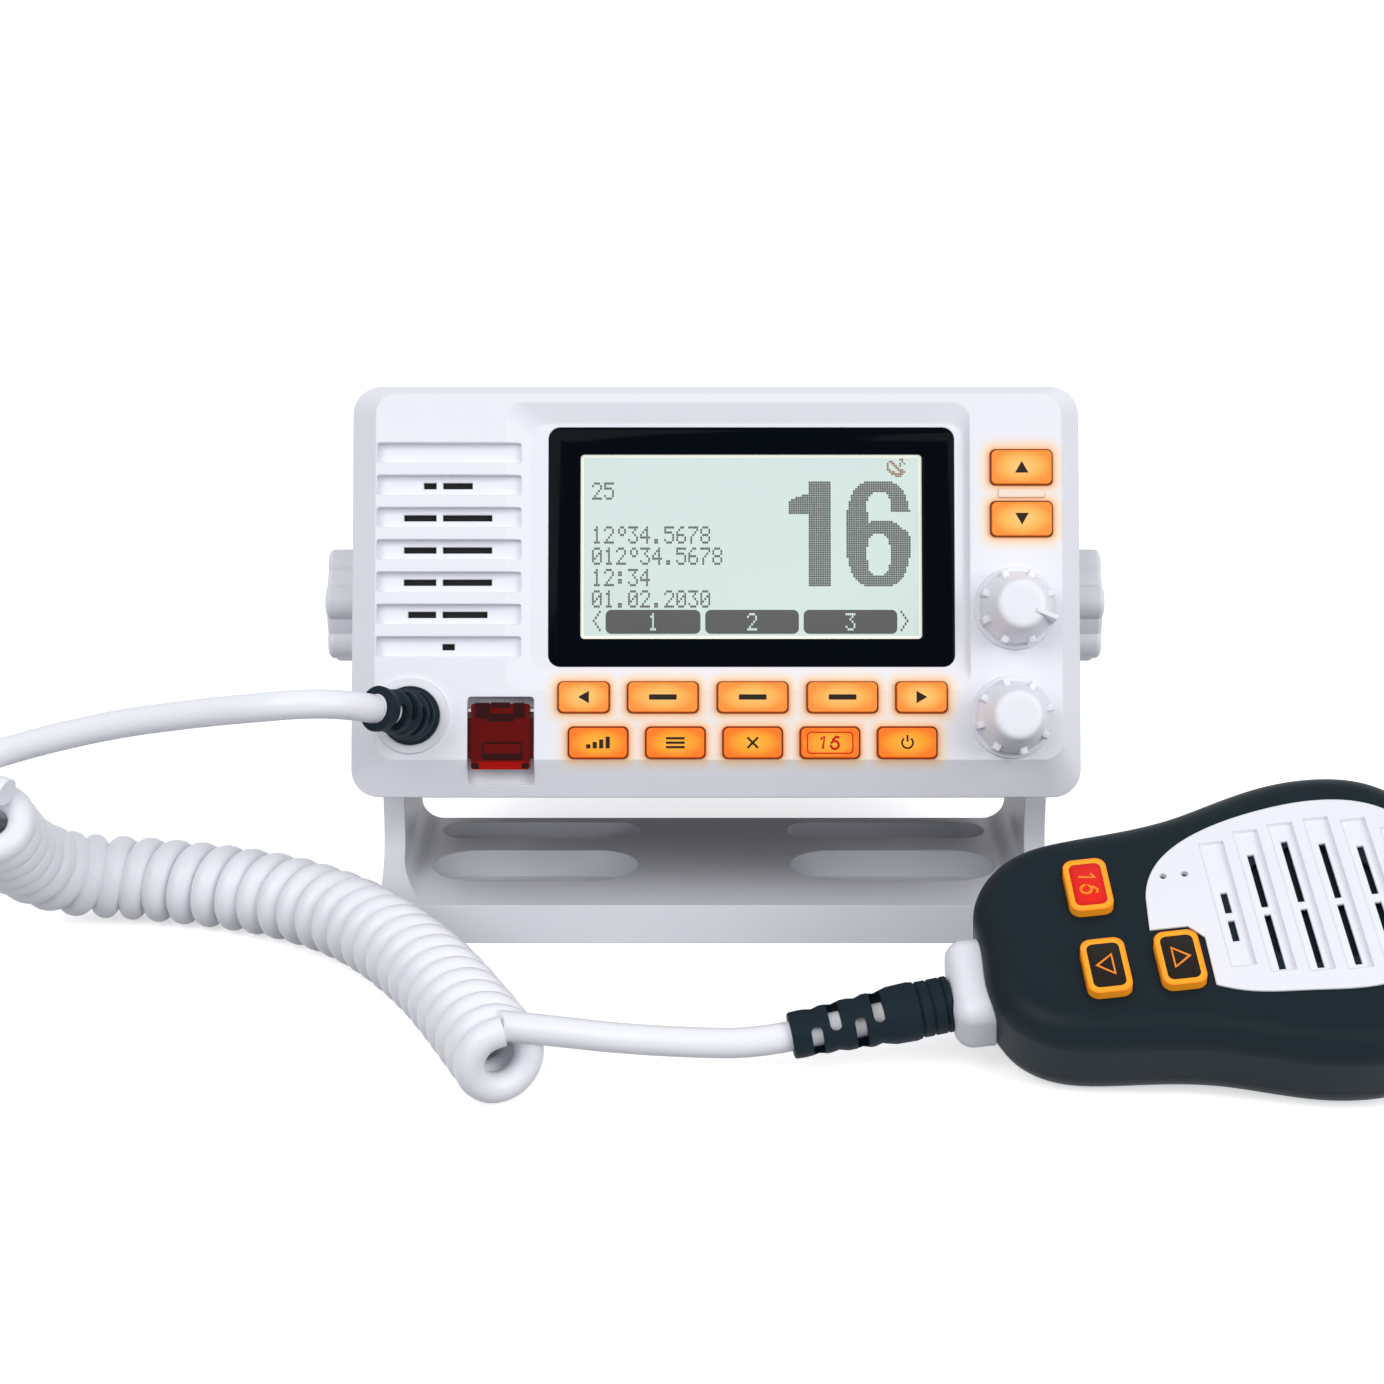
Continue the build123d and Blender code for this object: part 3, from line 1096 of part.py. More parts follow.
def mic_lead_exit():
    """How the cord leaves the microphone's boot."""
    turn = math.radians(MIC_BOOT_TURN)
    direction = Vector(-math.cos(turn), -math.sin(turn), 0)
    tip = Vector(COLLAR_A, MIC_BOOT_W, MIC_BOOT_N) + direction * MIC_BOOT_L
    return along_exit(MIC_PLACE, tip, direction)


def radio_lead_exit():
    """How the cord leaves the radio's boot."""
    path = boot_path()
    return along_exit(RADIO_PLACE, path @ 1, path % 1)


# ---------------------------------------------------------------- assembly
def root_nodes():
    """The bracket and the cord."""
    yield "gimbal_bracket", gimbal_bracket()
    yield "cord_coil", tube("cord_coil", COIL_ROUTE, COIL_R)
    route = radio_lead_exit() + RADIO_LEAD_ROUTE
    yield "cord_radio_lead", tube("cord_radio_lead", route, CORD_R)
    route = mic_lead_exit() + MIC_LEAD_ROUTE
    yield "cord_mic_lead", tube("cord_mic_lead", route, CORD_R)


def radio_nodes():
    """Everything that tilts in the bracket, in the radio's own upright frame."""
    for side, name in ((-1, "left"), (1, "right")):
        yield f"clamp_knob_{name}", clamp_knob(side)
        yield f"clamp_washer_{name}", clamp_washer(side)
    yield "front_bezel", front_bezel()
    yield "display_window", display_window()
    yield "display_frame", display_frame()
    yield "lcd_panel", display_layer(FACE_BACK, PANEL_T)
    yield "backlight", display_layer(FACE_BACK + PANEL_T, BACKLIGHT_T)
    for name, place in key_layout().items():
        yield name, face_key(*place)
    yield "key_board", key_board()
    yield "encoder_volume", encoder(VOLUME_X, VOLUME_Z)
    yield "encoder_channel", encoder(CHANNEL_X, CHANNEL_Z)
    yield "knob_volume", turning_knob(VOLUME_X, VOLUME_Z, KNOB_RIB_TURN["volume"], True)
    yield "knob_channel", turning_knob(CHANNEL_X, CHANNEL_Z, KNOB_RIB_TURN["channel"], False)
    yield "speaker", speaker()
    yield "speaker_cloth", speaker_cloth()
    yield "distress_cover", distress_cover()
    yield "cover_pin", cover_pin()
    yield "distress_key", distress_key()
    yield "cord_boot", cord_boot()
    yield "front_gasket", front_gasket()
    yield "rear_housing", rear_housing()
    yield "main_board", main_board()
    yield "shield_can", shield_can()
    yield "antenna_socket", antenna_socket()
    yield "power_gland", lead_gland(*lead_places()[0])
    yield "accessory_gland", lead_gland(*lead_places()[1])
    rear = BEZEL_BACK + GASKET_T + FLANGE_T
    yield "case_screws", Compound([screw(x, z, rear, CASE_SCREW_L) for x, z in corner_places()])
    head = BOARD_FRONT + BOARD_T
    screws = [screw(x, z, head, BOARD_T + 3) for x, z in board_screw_places()]
    screws += [main_board_screw(x, y) for x, y in main_post_places()]
    yield "board_screws", Compound(screws)


def mic_nodes():
    """Everything in the microphone, in its own frame."""
    yield "mic_front_shell", mic_front_shell()
    yield "mic_face_plate", face_plate()
    yield "mic_seal", mic_seal()
    yield "mic_back_shell", mic_back_shell()
    yield "mic_speaker", mic_speaker()
    yield "mic_capsule", mic_capsule()
    yield "mic_board", mic_board()
    yield "mic_screws", Compound([mic_screw(a, w) for a, w in MIC_SCREWS])
    for name, place in MIC_KEYS.items():
        yield name, mic_key(*place)
    yield "talk_key", talk_key()
    yield "hang_up_stud", hang_up_stud()
    yield "cord_collar", cord_collar()
    yield "mic_boot", mic_boot()


os.makedirs("parts", exist_ok=True)
groups = ((Pos(0, 0, 0), root_nodes()), (RADIO_PLACE, radio_nodes()), (MIC_PLACE, mic_nodes()))
for place, nodes in groups:
    for name, shape in nodes:
        export_step(place * shape, f"parts/{name}.step")
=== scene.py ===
# %% [markdown]
# # A fixed-mount marine VHF radio, dressed for rendering
# The solids of the radio come from its construction source and are loaded as a fixed frame. This
# lesson gives them their finishes, and makes the pieces whose looks need more than a plain solid:
# the curly cord, the lit keys, the knobs, the rubber boots and what the display shows.

# %% Load the frame
import bpy
import bmesh
import json
import math
from mathutils import Matrix, Vector


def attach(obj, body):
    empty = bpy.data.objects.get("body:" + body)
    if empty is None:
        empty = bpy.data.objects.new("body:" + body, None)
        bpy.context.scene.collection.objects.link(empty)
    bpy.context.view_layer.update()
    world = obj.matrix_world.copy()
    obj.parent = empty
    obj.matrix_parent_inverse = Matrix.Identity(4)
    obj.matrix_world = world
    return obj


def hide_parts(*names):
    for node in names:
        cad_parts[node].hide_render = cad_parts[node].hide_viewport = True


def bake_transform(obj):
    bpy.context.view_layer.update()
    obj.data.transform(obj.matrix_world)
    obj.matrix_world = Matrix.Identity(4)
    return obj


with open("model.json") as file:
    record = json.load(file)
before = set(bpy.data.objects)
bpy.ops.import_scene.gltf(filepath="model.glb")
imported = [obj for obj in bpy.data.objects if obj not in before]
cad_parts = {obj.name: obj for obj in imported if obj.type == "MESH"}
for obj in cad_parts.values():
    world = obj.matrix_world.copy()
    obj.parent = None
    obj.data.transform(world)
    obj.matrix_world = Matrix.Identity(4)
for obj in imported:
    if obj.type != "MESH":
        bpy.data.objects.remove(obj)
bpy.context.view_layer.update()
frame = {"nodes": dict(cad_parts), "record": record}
MM = 0.001
print("nodes", len(frame["nodes"]))

# %% [markdown]
# ## Two drawing frames
# The face of the radio leans back by 20 degrees about the pivot in the bracket, and the microphone
# lies turned and tilted on its stud. Each has its own frame, so that their pieces can be drawn
# upright and flat and then put in place once.

# %% Places
TILT = math.radians(20)
RADIO = Matrix.Translation((0, 0.012, 0.0785)) @ Matrix.Rotation(-TILT, 4, "X")
MIC = (Matrix.Translation((0.0983, -0.1079, 0.0360)) @ Matrix.Rotation(math.radians(-9.5), 4, "Z")
       @ Matrix.Rotation(math.radians(30), 4, "X") @ Matrix.Rotation(math.radians(12.34), 4, "Z"))
FACE = -50.0          # the flat face, in the radio's own frame, in millimetres


def deselect():
    """Nothing selected, nothing in edit mode."""
    if bpy.context.object and bpy.context.object.mode != "OBJECT":
        bpy.ops.object.mode_set(mode="OBJECT")
    bpy.ops.object.select_all(action="DESELECT")


def settle(piece, place):
    """Put a piece in its frame and leave its object at the origin."""
    deselect()
    piece.matrix_world = place @ piece.matrix_world
    bpy.context.view_layer.update()
    piece.data.transform(piece.matrix_world)
    piece.matrix_world = Matrix.Identity(4)


deselect()

# %% [markdown]
# ## Camera
# A short telephoto a little above the set, level from side to side, looks down by 17 degrees.

# %% Camera
CAMERA_AT = (-0.006, -0.6532, 0.2611)
CAMERA_PITCH = 72.73  # degrees up from straight down
SENSOR, LENS = 36, 67.08  # millimetres
camera = bpy.data.objects.new("camera", bpy.data.cameras.new("camera"))
bpy.context.scene.collection.objects.link(camera)
camera.location = CAMERA_AT
camera.rotation_euler = (math.radians(CAMERA_PITCH), 0, 0)
camera.data.sensor_width = SENSOR
camera.data.lens = LENS
bpy.context.scene.camera = camera
bpy.context.scene.view_settings.view_transform = "Standard"

# %% [markdown]
# ## Material tools
# Colours are written as sRGB hex, as a maker would note them, and one function turns them to the
# linear values that shaders use. One more adds a node with its settings and its links, and small
# ones after it add the steps that several finishes share.

# %% Colour and node helpers


def rgb(text, alpha=1.0):
    """An sRGB hex colour as linear RGBA."""
    parts = [int(text[i:i + 2], 16) / 255 for i in (1, 3, 5)]
    return [v / 12.92 if v <= 0.04045 else ((v + 0.055) / 1.055) ** 2.4 for v in parts] + [alpha]


def add(tree, kind, links=None, **settings):
    """Add a node; settings are its properties or sockets, links feed its sockets."""
    node = tree.nodes.new(kind)
    for key, value in settings.items():
        if hasattr(node, key):
            setattr(node, key, value)
        else:
            node.inputs[key.replace("_", " ")].default_value = value
    for socket, source in (links or {}).items():
        tree.links.new(source, node.inputs[socket])
    return node


def material(name):
    """An empty node material with its output."""
    made = bpy.data.materials.new(name)
    made.use_nodes = True
    made.node_tree.nodes.clear()
    return made, made.node_tree, made.node_tree.nodes.new("ShaderNodeOutputMaterial")


def clouded(tree, size_mm, detail):
    """Object coordinates, and a soft noise over them."""
    where = add(tree, "ShaderNodeTexCoord").outputs["Object"]
    cloud = add(tree, "ShaderNodeTexNoise", {"Vector": where}, Scale=1 / (size_mm * MM),
                Detail=detail)
    return where, cloud.outputs["Fac"]


def between(tree, factor, low, high):
    """A colour between two hex colours."""
    return add(tree, "ShaderNodeMix", {"Factor": factor}, data_type="RGBA", A=rgb(low),
               B=rgb(high)).outputs["Result"]


def ranged(tree, value, **limits):
    """A value mapped from one range to another, each 0 to 1 unless its limits are given."""
    return add(tree, "ShaderNodeMapRange", {"Value": value}, **limits).outputs["Result"]


def flatness(tree, radius_mm):
    """How well the rounded normal agrees with the true one: 1 on a flat, less near an edge."""
    wide = add(tree, "ShaderNodeBevel", samples=8, Radius=radius_mm * MM)
    true = add(tree, "ShaderNodeNewGeometry").outputs["Normal"]
    return add(tree, "ShaderNodeVectorMath", {0: wide.outputs[0], 1: true},
               operation="DOT_PRODUCT").outputs["Value"]


def moulded(name, low, high, roughness, grain_mm=0.0, grain=0.0, edge_mm=0.0, painted_light=None,
            **shader):
    """A moulded surface: faint clouding of colour, a fine grain, and softly rounded edges."""
    made, tree, output = material(name)
    where, cloud = clouded(tree, 35, 3.0)
    colour = between(tree, cloud, low, high)
    # Painted light and shade laid over the colour, where a finish is given them
    if painted_light:
        colour = painted_light(tree, where, colour)
    normal = add(tree, "ShaderNodeBevel", samples=6, Radius=edge_mm * MM).outputs[0]
    if grain:
        speck = add(tree, "ShaderNodeTexNoise", {"Vector": where}, Scale=1 / (grain_mm * MM),
                    Detail=2.0)
        normal = add(tree, "ShaderNodeBump", {"Height": speck.outputs["Fac"], "Normal": normal},
                     Strength=grain, Distance=0.05 * MM).outputs[0]
    gloss = ranged(tree, cloud, To_Min=roughness - 0.04, To_Max=roughness + 0.04)
    surface = add(tree, "ShaderNodeBsdfPrincipled",
                  {"Base Color": colour, "Normal": normal, "Roughness": gloss}, **shader)
    tree.links.new(surface.outputs[0], output.inputs[0])
    return made


# %% Key places
# The middle of each key on the face, x and z in millimetres, and the keys' width and height.
ROW_1_Z, ROW_2_Z, STEP_X = -26.8, -38.1, 75.8
END_KEYS = {"key_left": (-32.8, ROW_1_Z), "key_right": (50.8, ROW_1_Z)}
SOFT_KEYS = {"key_soft_1": (-13.2, ROW_1_Z), "key_soft_2": (9.0, ROW_1_Z),
             "key_soft_3": (31.2, ROW_1_Z)}
FUNCTION_KEYS = {"key_power_level": (-29.2, ROW_2_Z), "key_menu": (-10.1, ROW_2_Z),
                 "key_clear": (9.0, ROW_2_Z), "key_channel_16": (28.1, ROW_2_Z),
                 "key_power": (47.2, ROW_2_Z)}
STEP_KEYS = {"key_up": (STEP_X, 30.35), "key_down": (STEP_X, 17.45)}
KEY_AT = {**END_KEYS, **SOFT_KEYS, **FUNCTION_KEYS, **STEP_KEYS}
GLOW_KEYS = [(x, z, wide, high)
             for keys, wide, high in ((END_KEYS, 12.2, 7.3), (SOFT_KEYS, 17.0, 7.3),
                                      (FUNCTION_KEYS, 14.2, 7.3), (STEP_KEYS, 14.8, 8.3))
             for x, z in keys.values()]

# %% Painted light and shade around the keys
# The keys' light is painted into the face's colour, this far out from each key
PAINTED_GLOW_REACH = 5.0      # millimetres of face that the light of a key warms


def face_frame(tree, where):
    """Object coordinates in the face's own frame, in millimetres."""
    back = RADIO.inverted()
    return add(tree, "ShaderNodeMapping", {"Vector": where}, Location=back.translation / MM,
               Rotation=back.to_euler(), Scale=(1 / MM, 1 / MM, 1 / MM)).outputs[0]


def vector_step(tree, operation, value, constant=None):
    """One step of vector arithmetic, with a fixed second value where it needs one."""
    step = add(tree, "ShaderNodeVectorMath", {0: value}, operation=operation)
    if constant is not None:
        step.inputs[1].default_value = constant
    return step.outputs["Value" if operation == "LENGTH" else 0]


def smaller(tree, first, second):
    """The smaller of two values, or the second where there is no first yet."""
    if first is None:
        return second
    return add(tree, "ShaderNodeMath", {0: first, 1: second}, operation="MINIMUM").outputs[0]


def painted_key_light(tree, where, colour):
    """Painted warm light on the face close to the keys, and painted shade in the gap around each of
    them.
    """
    local = face_frame(tree, where)
    nearest = None
    for x, z, wide, high in GLOW_KEYS:
        step = vector_step(tree, "SUBTRACT", local, (x, FACE, z))
        step = vector_step(tree, "ABSOLUTE", step)
        step = vector_step(tree, "SUBTRACT", step, (wide / 2 - 1, 0.5, high / 2 - 1))
        step = vector_step(tree, "MAXIMUM", step)
        nearest = smaller(tree, nearest, vector_step(tree, "LENGTH", step))
    reach = ranged(tree, nearest, From_Min=1.0, From_Max=1.0 + PAINTED_GLOW_REACH)
    ramp = add(tree, "ShaderNodeValToRGB", {0: reach})
    stops = ramp.color_ramp.elements
    # The first two stops are painted shade in the gap at each key's edge; the pale warm stops after
    # them are painted light from the lit keys.
    stops[0].position, stops[0].color = 0.0, rgb("#3a1a06", 1.0)
    stops[1].position, stops[1].color = 1.0, rgb("#ffffff", 0.0)
    for place, hexa, cover in ((0.07, "#6a3c16", 1.0), (0.12, "#f2b872", 0.8),
                               (0.3, "#ffcf8c", 0.55), (0.6, "#ffe2b0", 0.22)):
        stops.new(place).color = rgb(hexa, cover)
    warm = add(tree, "ShaderNodeMix", {"Factor": ramp.outputs["Alpha"], "A": colour,
                                       "B": ramp.outputs["Color"]}, data_type="RGBA")
    return warm.outputs["Result"]


# %% [markdown]
# ## The finishes
# The housing is ABS, injection moulded with a fine spark-eroded grain and left in its white colour,
# a little cold. The microphone is the same plastic in near-black. Rubber is duller, the window is
# glossy acrylic, and the chassis is die-cast aluminium under black paint.

# %% Plastics, rubber and metals
white_abs = moulded("white ABS, spark-eroded grain", "#e9eaf1", "#eeeff5", 0.42, 0.45, 0.12, 0.5)
# The face's white plastic, with painted warm light around the keys and painted shade in the gaps at
# their edges
bezel_abs = moulded("white ABS with painted key light and gap shade", "#e9eaf1", "#eeeff5", 0.42, 0.45, 0.12, 0.5,
                    painted_key_light)
black_abs = moulded("near-black ABS, fine grain", "#04161d", "#081d26", 0.46, 0.5, 0.45, 0.5,
                    Specular_IOR_Level=0.16)
black_rubber = moulded("black moulded rubber", "#0b1a23", "#11222d", 0.6, 0.3, 0.2, 0.3,
                       Specular_IOR_Level=0.14)
black_cast = moulded("black paint on cast aluminium", "#0c0c0d", "#121213", 0.55, 0.8, 0.5, 0.5)
red_abs = moulded("red translucent ABS", "#8c0500", "#9b0a02", 0.14, 0.0, 0.0, 0.4,
                  Transmission_Weight=0.65, IOR=1.5)
steel = moulded("nickel-plated steel", "#b4b6b8", "#c4c6c8", 0.30, 0.5, 0.1, 0.1, Metallic=1.0)
chrome = moulded("chromed brass", "#d8d8d6", "#e0e0de", 0.12, 0.5, 0.05, 0.1, Metallic=1.0)
cord_pvc = moulded("white PVC jacket", "#eeeff5", "#f3f4f9", 0.38, 0.5, 0.06, 0.0,
                   Subsurface_Weight=0.1, Subsurface_Scale=1.5 * MM)
window_acrylic = moulded("black-backed acrylic window", "#00040b", "#00060e", 0.12,
                         Specular_IOR_Level=0.03)
circuit = moulded("green solder mask", "#12502a", "#176034", 0.35, 1.5, 0.4, 0.1)
cloth = moulded("black acoustic cloth", "#0a0a0a", "#141414", 0.9, 0.6, 1.0)

FINISH = {"white_plastic": white_abs, "black_plastic": black_abs, "black_rubber": black_rubber,
          "black_cast": black_cast, "dark_window": window_acrylic, "red_plastic": red_abs,
          "steel": steel, "chrome": chrome, "white_cord": cord_pvc, "circuit_board": circuit,
          "black_cloth": cloth, "display_glass": window_acrylic}


def painted_edge_and_foot_light(name, flat, edge, foot, foot_z, roughness):
    """Thick translucent plastic: its own colour on the flat, painted shade where the surface turns
    at its edges, and painted light at its foot.
    """
    made, tree, output = material(name)
    where, cloud = clouded(tree, 7, 2.0)
    # Painted shade: a darker colour where the surface turns at the edges
    turn = ranged(tree, flatness(tree, 1.1), From_Min=0.80, From_Max=0.97)
    depth = between(tree, turn, edge, flat)
    high = add(tree, "ShaderNodeSeparateXYZ", {"Vector": where})
    # Painted light: the bottom 0.4 mm above the foot takes a brighter colour
    low = ranged(tree, high.outputs["Z"], From_Min=foot_z, From_Max=foot_z + 0.4 * MM)
    colour = add(tree, "ShaderNodeMix", {"Factor": low, "B": depth}, data_type="RGBA",
                 A=rgb(foot))
    gloss = ranged(tree, cloud, To_Min=roughness - 0.03, To_Max=roughness + 0.03)
    surface = add(tree, "ShaderNodeBsdfPrincipled",
                  {"Base Color": colour.outputs["Result"], "Roughness": gloss},
                  Specular_IOR_Level=0.1)
    tree.links.new(surface.outputs[0], output.inputs[0])
    return made


def wear(node, finish):
    """Give a solid of the frame, or a finished piece, its one finish."""
    node.data.materials.clear()
    node.data.materials.append(finish)


for subpart in frame["record"]["subparts"]:
    if subpart["material_slot"] in FINISH:
        wear(frame["nodes"][subpart["node"]], FINISH[subpart["material_slot"]])
wear(frame["nodes"]["front_bezel"], bezel_abs)
# The red cover: dark red on the flat, with painted shade at its edges and painted bright red light
# at its foot
COVER_FOOT = (RADIO @ Vector((0, FACE * MM, -42.9 * MM))).z
cover_red = painted_edge_and_foot_light("red translucent polycarbonate", "#640000", "#4a0505", "#a40300", COVER_FOOT,
                  0.16)
# Painted shade: the dark red of the parts seen under the red lid
cover_shade = moulded("painted shade behind the red cover", "#260000", "#340202", 0.3,
                      Specular_IOR_Level=0.1)
wear(frame["nodes"]["distress_cover"], cover_red)

# %% [markdown]
# ## The lit keys
# The keys are orange silicone under clear plastic, lit from behind, so their colour glows and runs
# a little paler in the middle. A weak emission under the same colour gives that glow. The printed
# marks are black ink, and red on the channel 16 key.

# %% Key silicone and ink


def by_edge(tree, _where):
    """How far a spot is turned towards an edge of its piece, from 0 on the flat to 1."""
    return ranged(tree, flatness(tree, 1.6), From_Min=1.0, From_Max=0.86)


def by_key(tree, where):
    """How far a spot is from the middle of its key, from 0 there to 1 at the key's rim."""
    local = face_frame(tree, where)
    nearest = None
    for x, z, wide, high in GLOW_KEYS:
        step = vector_step(tree, "SUBTRACT", local, (x, FACE, z))
        step = vector_step(tree, "MULTIPLY", step, (2 / wide, 0, 2 / high))
        nearest = smaller(tree, nearest, vector_step(tree, "LENGTH", step))
    return nearest


def lit_silicone(name, colours, glow, measure):
    """Back-lit silicone: paler over the lamp behind, deeper towards the rim."""
    made, tree, output = material(name)
    where, cloud = clouded(tree, 5, 2.0)
    uneven = ranged(tree, cloud, To_Min=-0.12, To_Max=0.12)
    place = add(tree, "ShaderNodeMath", {0: measure(tree, where), 1: uneven}, operation="ADD")
    ramp = add(tree, "ShaderNodeValToRGB", {0: place.outputs[0]})
    stops = ramp.color_ramp.elements
    stops[0].color, stops[1].color = rgb(colours[0]), rgb(colours[2])
    stops.new(0.62).color = rgb(colours[1])
    soft = add(tree, "ShaderNodeBevel", samples=6, Radius=0.4 * MM)
    surface = add(tree, "ShaderNodeBsdfPrincipled",
                  {"Base Color": ramp.outputs["Color"], "Emission Color": ramp.outputs["Color"],
                   "Normal": soft.outputs[0]},
                  Roughness=0.4, Emission_Strength=glow, Specular_IOR_Level=0.3)
    tree.links.new(surface.outputs[0], output.inputs[0])
    return made


key_silicone = lit_silicone("orange back-lit silicone", ("#ffb534", "#ff9c22", "#ff7714"), 0.12,
                            by_key)
pale_silicone = lit_silicone("pale orange back-lit silicone", ("#ffc878", "#ffae50", "#ff8e34"),
                             0.12, by_key)
mic_silicone = lit_silicone("orange silicone of the microphone",
                            ("#ffa322", "#ff9c1c", "#ff8a14"), 0.15, by_edge)
red_silicone = lit_silicone("red silicone", ("#e0180a", "#d81206", "#c80a00"), 0.12, by_edge)
key_ink = moulded("black key ink", "#140a02", "#1c1004", 0.5, Specular_IOR_Level=0.2)
red_ink = moulded("red key ink", "#d01400", "#dc1a04", 0.5, Specular_IOR_Level=0.2)
key_inlay = moulded("black polycarbonate inlay", "#100a02", "#181006", 0.3,
                    Specular_IOR_Level=0.2)
PALE_KEYS = (*END_KEYS, *SOFT_KEYS, *STEP_KEYS)
for name, node in frame["nodes"].items():
    if name in PALE_KEYS:
        wear(node, pale_silicone)
    elif name.startswith("mic_key"):
        wear(node, mic_silicone)
    elif name.startswith("key_") and name != "key_board" or name == "backlight":
        wear(node, key_silicone)

# %% [markdown]
# ## The display's finishes
# A reflective liquid crystal panel is pale grey-green, and its dots turn a soft grey rather than
# black. A little emission stands in for the backlight.

# %% Display finishes


def panel_finish(name, low, high, glow):
    """A flat, faintly clouded surface of the display."""
    made, tree, output = material(name)
    tint = between(tree, clouded(tree, 28, 1.0)[1], low, high)
    surface = add(tree, "ShaderNodeBsdfPrincipled", {"Base Color": tint, "Emission Color": tint},
                  Roughness=0.45, Emission_Strength=glow, Specular_IOR_Level=0.2)
    tree.links.new(surface.outputs[0], output.inputs[0])
    return made


panel_glass = panel_finish("liquid crystal panel, clear", "#c4d5ce", "#cfded8", 0.16)
panel_edge = panel_finish("cream edge of the backlight", "#eef0de", "#f6f6ea", 0.12)
dot_ink = panel_finish("liquid crystal panel, dark dots", "#545654", "#5e5f5c", 0.06)
faded_ink = panel_finish("liquid crystal panel, faded sign", "#8c6a5c", "#967666", 0.06)

# %% [markdown]
# ## The curly cord
# The cord is one length of PVC-jacketed cable. Its middle was wound on a mandrel and heated, so it
# stays a tight left-handed coil. Each stretch follows the same route as its solid: a smooth line
# first, and then, for the coil, a helix of points about that line.

# %% Cord routes
CORD_R = 3.5 * MM
HELIX_R = 7.7 * MM
TURN = 7.05 * MM      # one turn touches the next
COIL_ROUTE = ((-48.0, -128.0, 11.2), (-59.9, -97.6, 11.2), (-72.6, -71.0, 11.2),
              (-90.0, -45.0, 11.2), (-111.5, -28.0, 11.2), (-134.5, -19.5, 11.2),
              (-155.5, -14.8, 11.2), (-170.5, -18.5, 13.4), (-179.3, -30.0, 22.6),
              (-179.6, -44.5, 33.6), (-179.0, -59.0, 44.5))
MIC_LEAD_ROUTE = ((16.7, -110.4, 9.5), (8.4, -111.4, 8.2), (-4.2, -112.6, 8.8),
                  (-22.4, -115.4, 11.2), (-37.0, -119.6, 15.0), (-49.4, -124.9, 18.9))
RADIO_LEAD_ROUTE = ((-82.0, -66.0, 74.3), (-87.1, -72.1, 77.3), (-96.3, -76.6, 79.0),
                    (-107.1, -75.0, 77.6), (-123.8, -67.0, 73.6), (-148.6, -57.5, 67.4),
                    (-176.7, -50.5, 58.3), (-193.0, -52.5, 52.0), (-195.0, -60.5, 38.5),
                    (-184.5, -64.5, 34.5))


def curve_piece(name, points, radius, resolution=8):
    """A smooth NURBS curve through free space, points in metres."""
    data = bpy.data.curves.new(name, "CURVE")
    data.dimensions = "3D"
    data.resolution_u = resolution
    data.bevel_depth = radius
    data.bevel_resolution = 6
    data.use_fill_caps = True
    spline = data.splines.new("NURBS")
    spline.points.add(len(points) - 1)
    for point, co in zip(spline.points, points):
        point.co = (*co, 1)
    spline.order_u = 3
    spline.use_endpoint_u = True
    piece = bpy.data.objects.new(name, data)
    bpy.context.scene.collection.objects.link(piece)
    return piece


def metres(route):
    """A route in millimetres as vectors in metres."""
    return [Vector(p) * MM for p in route]


def line_points(route):
    """Points along the smooth line of a route."""
    guide = curve_piece("guide", metres(route), 0.0, 24)
    guide.data.use_fill_caps = False
    mesh = bpy.data.meshes.new_from_object(guide)
    points = [v.co.copy() for v in mesh.vertices]
    bpy.data.objects.remove(guide)
    return points


def as_tube(curve):
    """Make a cord's curve a mesh tube, and give the points that the tube follows."""
    radius = curve.data.bevel_depth
    curve.data.bevel_depth = 0.0
    guide = bpy.data.meshes.new_from_object(curve)
    path = [vertex.co.copy() for vertex in guide.vertices]
    path = path[:1] + [b for a, b in zip(path, path[1:]) if (b - a).length > 0.01 * MM]
    curve.data.bevel_depth = radius
    made = bpy.data.objects.new(curve.name + "_tube", bpy.data.meshes.new_from_object(curve))
    bpy.context.scene.collection.objects.link(made)
    bpy.data.objects.remove(curve)
    return made, path


def along(points, step):
    """Evenly spaced places and directions along a line."""
    places, travelled, want = [], 0.0, 0.0
    for a, b in zip(points, points[1:]):
        run = (b - a).length
        while run > 0 and travelled + run >= want:
            places.append((a.lerp(b, (want - travelled) / run), (b - a).normalized()))
            want += step
        travelled += run
    return places


# %% The coil
PER_TURN = 16
line = line_points(COIL_ROUTE)
total = sum((b - a).length for a, b in zip(line, line[1:]))
turns = int(total / TURN) - 1
spots = along(line, total / (turns * PER_TURN))
side = Vector((0, 0, 1))
helix = []
for index, (spot, ahead) in enumerate(spots):
    side = (side - ahead * side.dot(ahead)).normalized()
    across = ahead.cross(side)
    angle = -2 * math.pi * index / PER_TURN
    helix.append(spot + (side * math.cos(angle) + across * math.sin(angle)) * HELIX_R)
coil, coil_path = as_tube(curve_piece("curly_cord", helix, CORD_R, 3))
coil.data.materials.append(cord_pvc)
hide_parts("cord_coil")

# %% The straight leads
mic_lead, mic_path = as_tube(curve_piece("microphone_lead", metres(MIC_LEAD_ROUTE), CORD_R))
radio_lead, radio_path = as_tube(curve_piece("radio_lead", metres(RADIO_LEAD_ROUTE), CORD_R))
for lead, node in ((mic_lead, "cord_mic_lead"), (radio_lead, "cord_radio_lead")):
    lead.data.materials.append(cord_pvc)
    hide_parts(node)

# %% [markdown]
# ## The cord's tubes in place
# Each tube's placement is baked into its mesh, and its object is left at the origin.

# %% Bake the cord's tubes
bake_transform(radio_lead)
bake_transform(mic_lead)
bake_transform(coil)

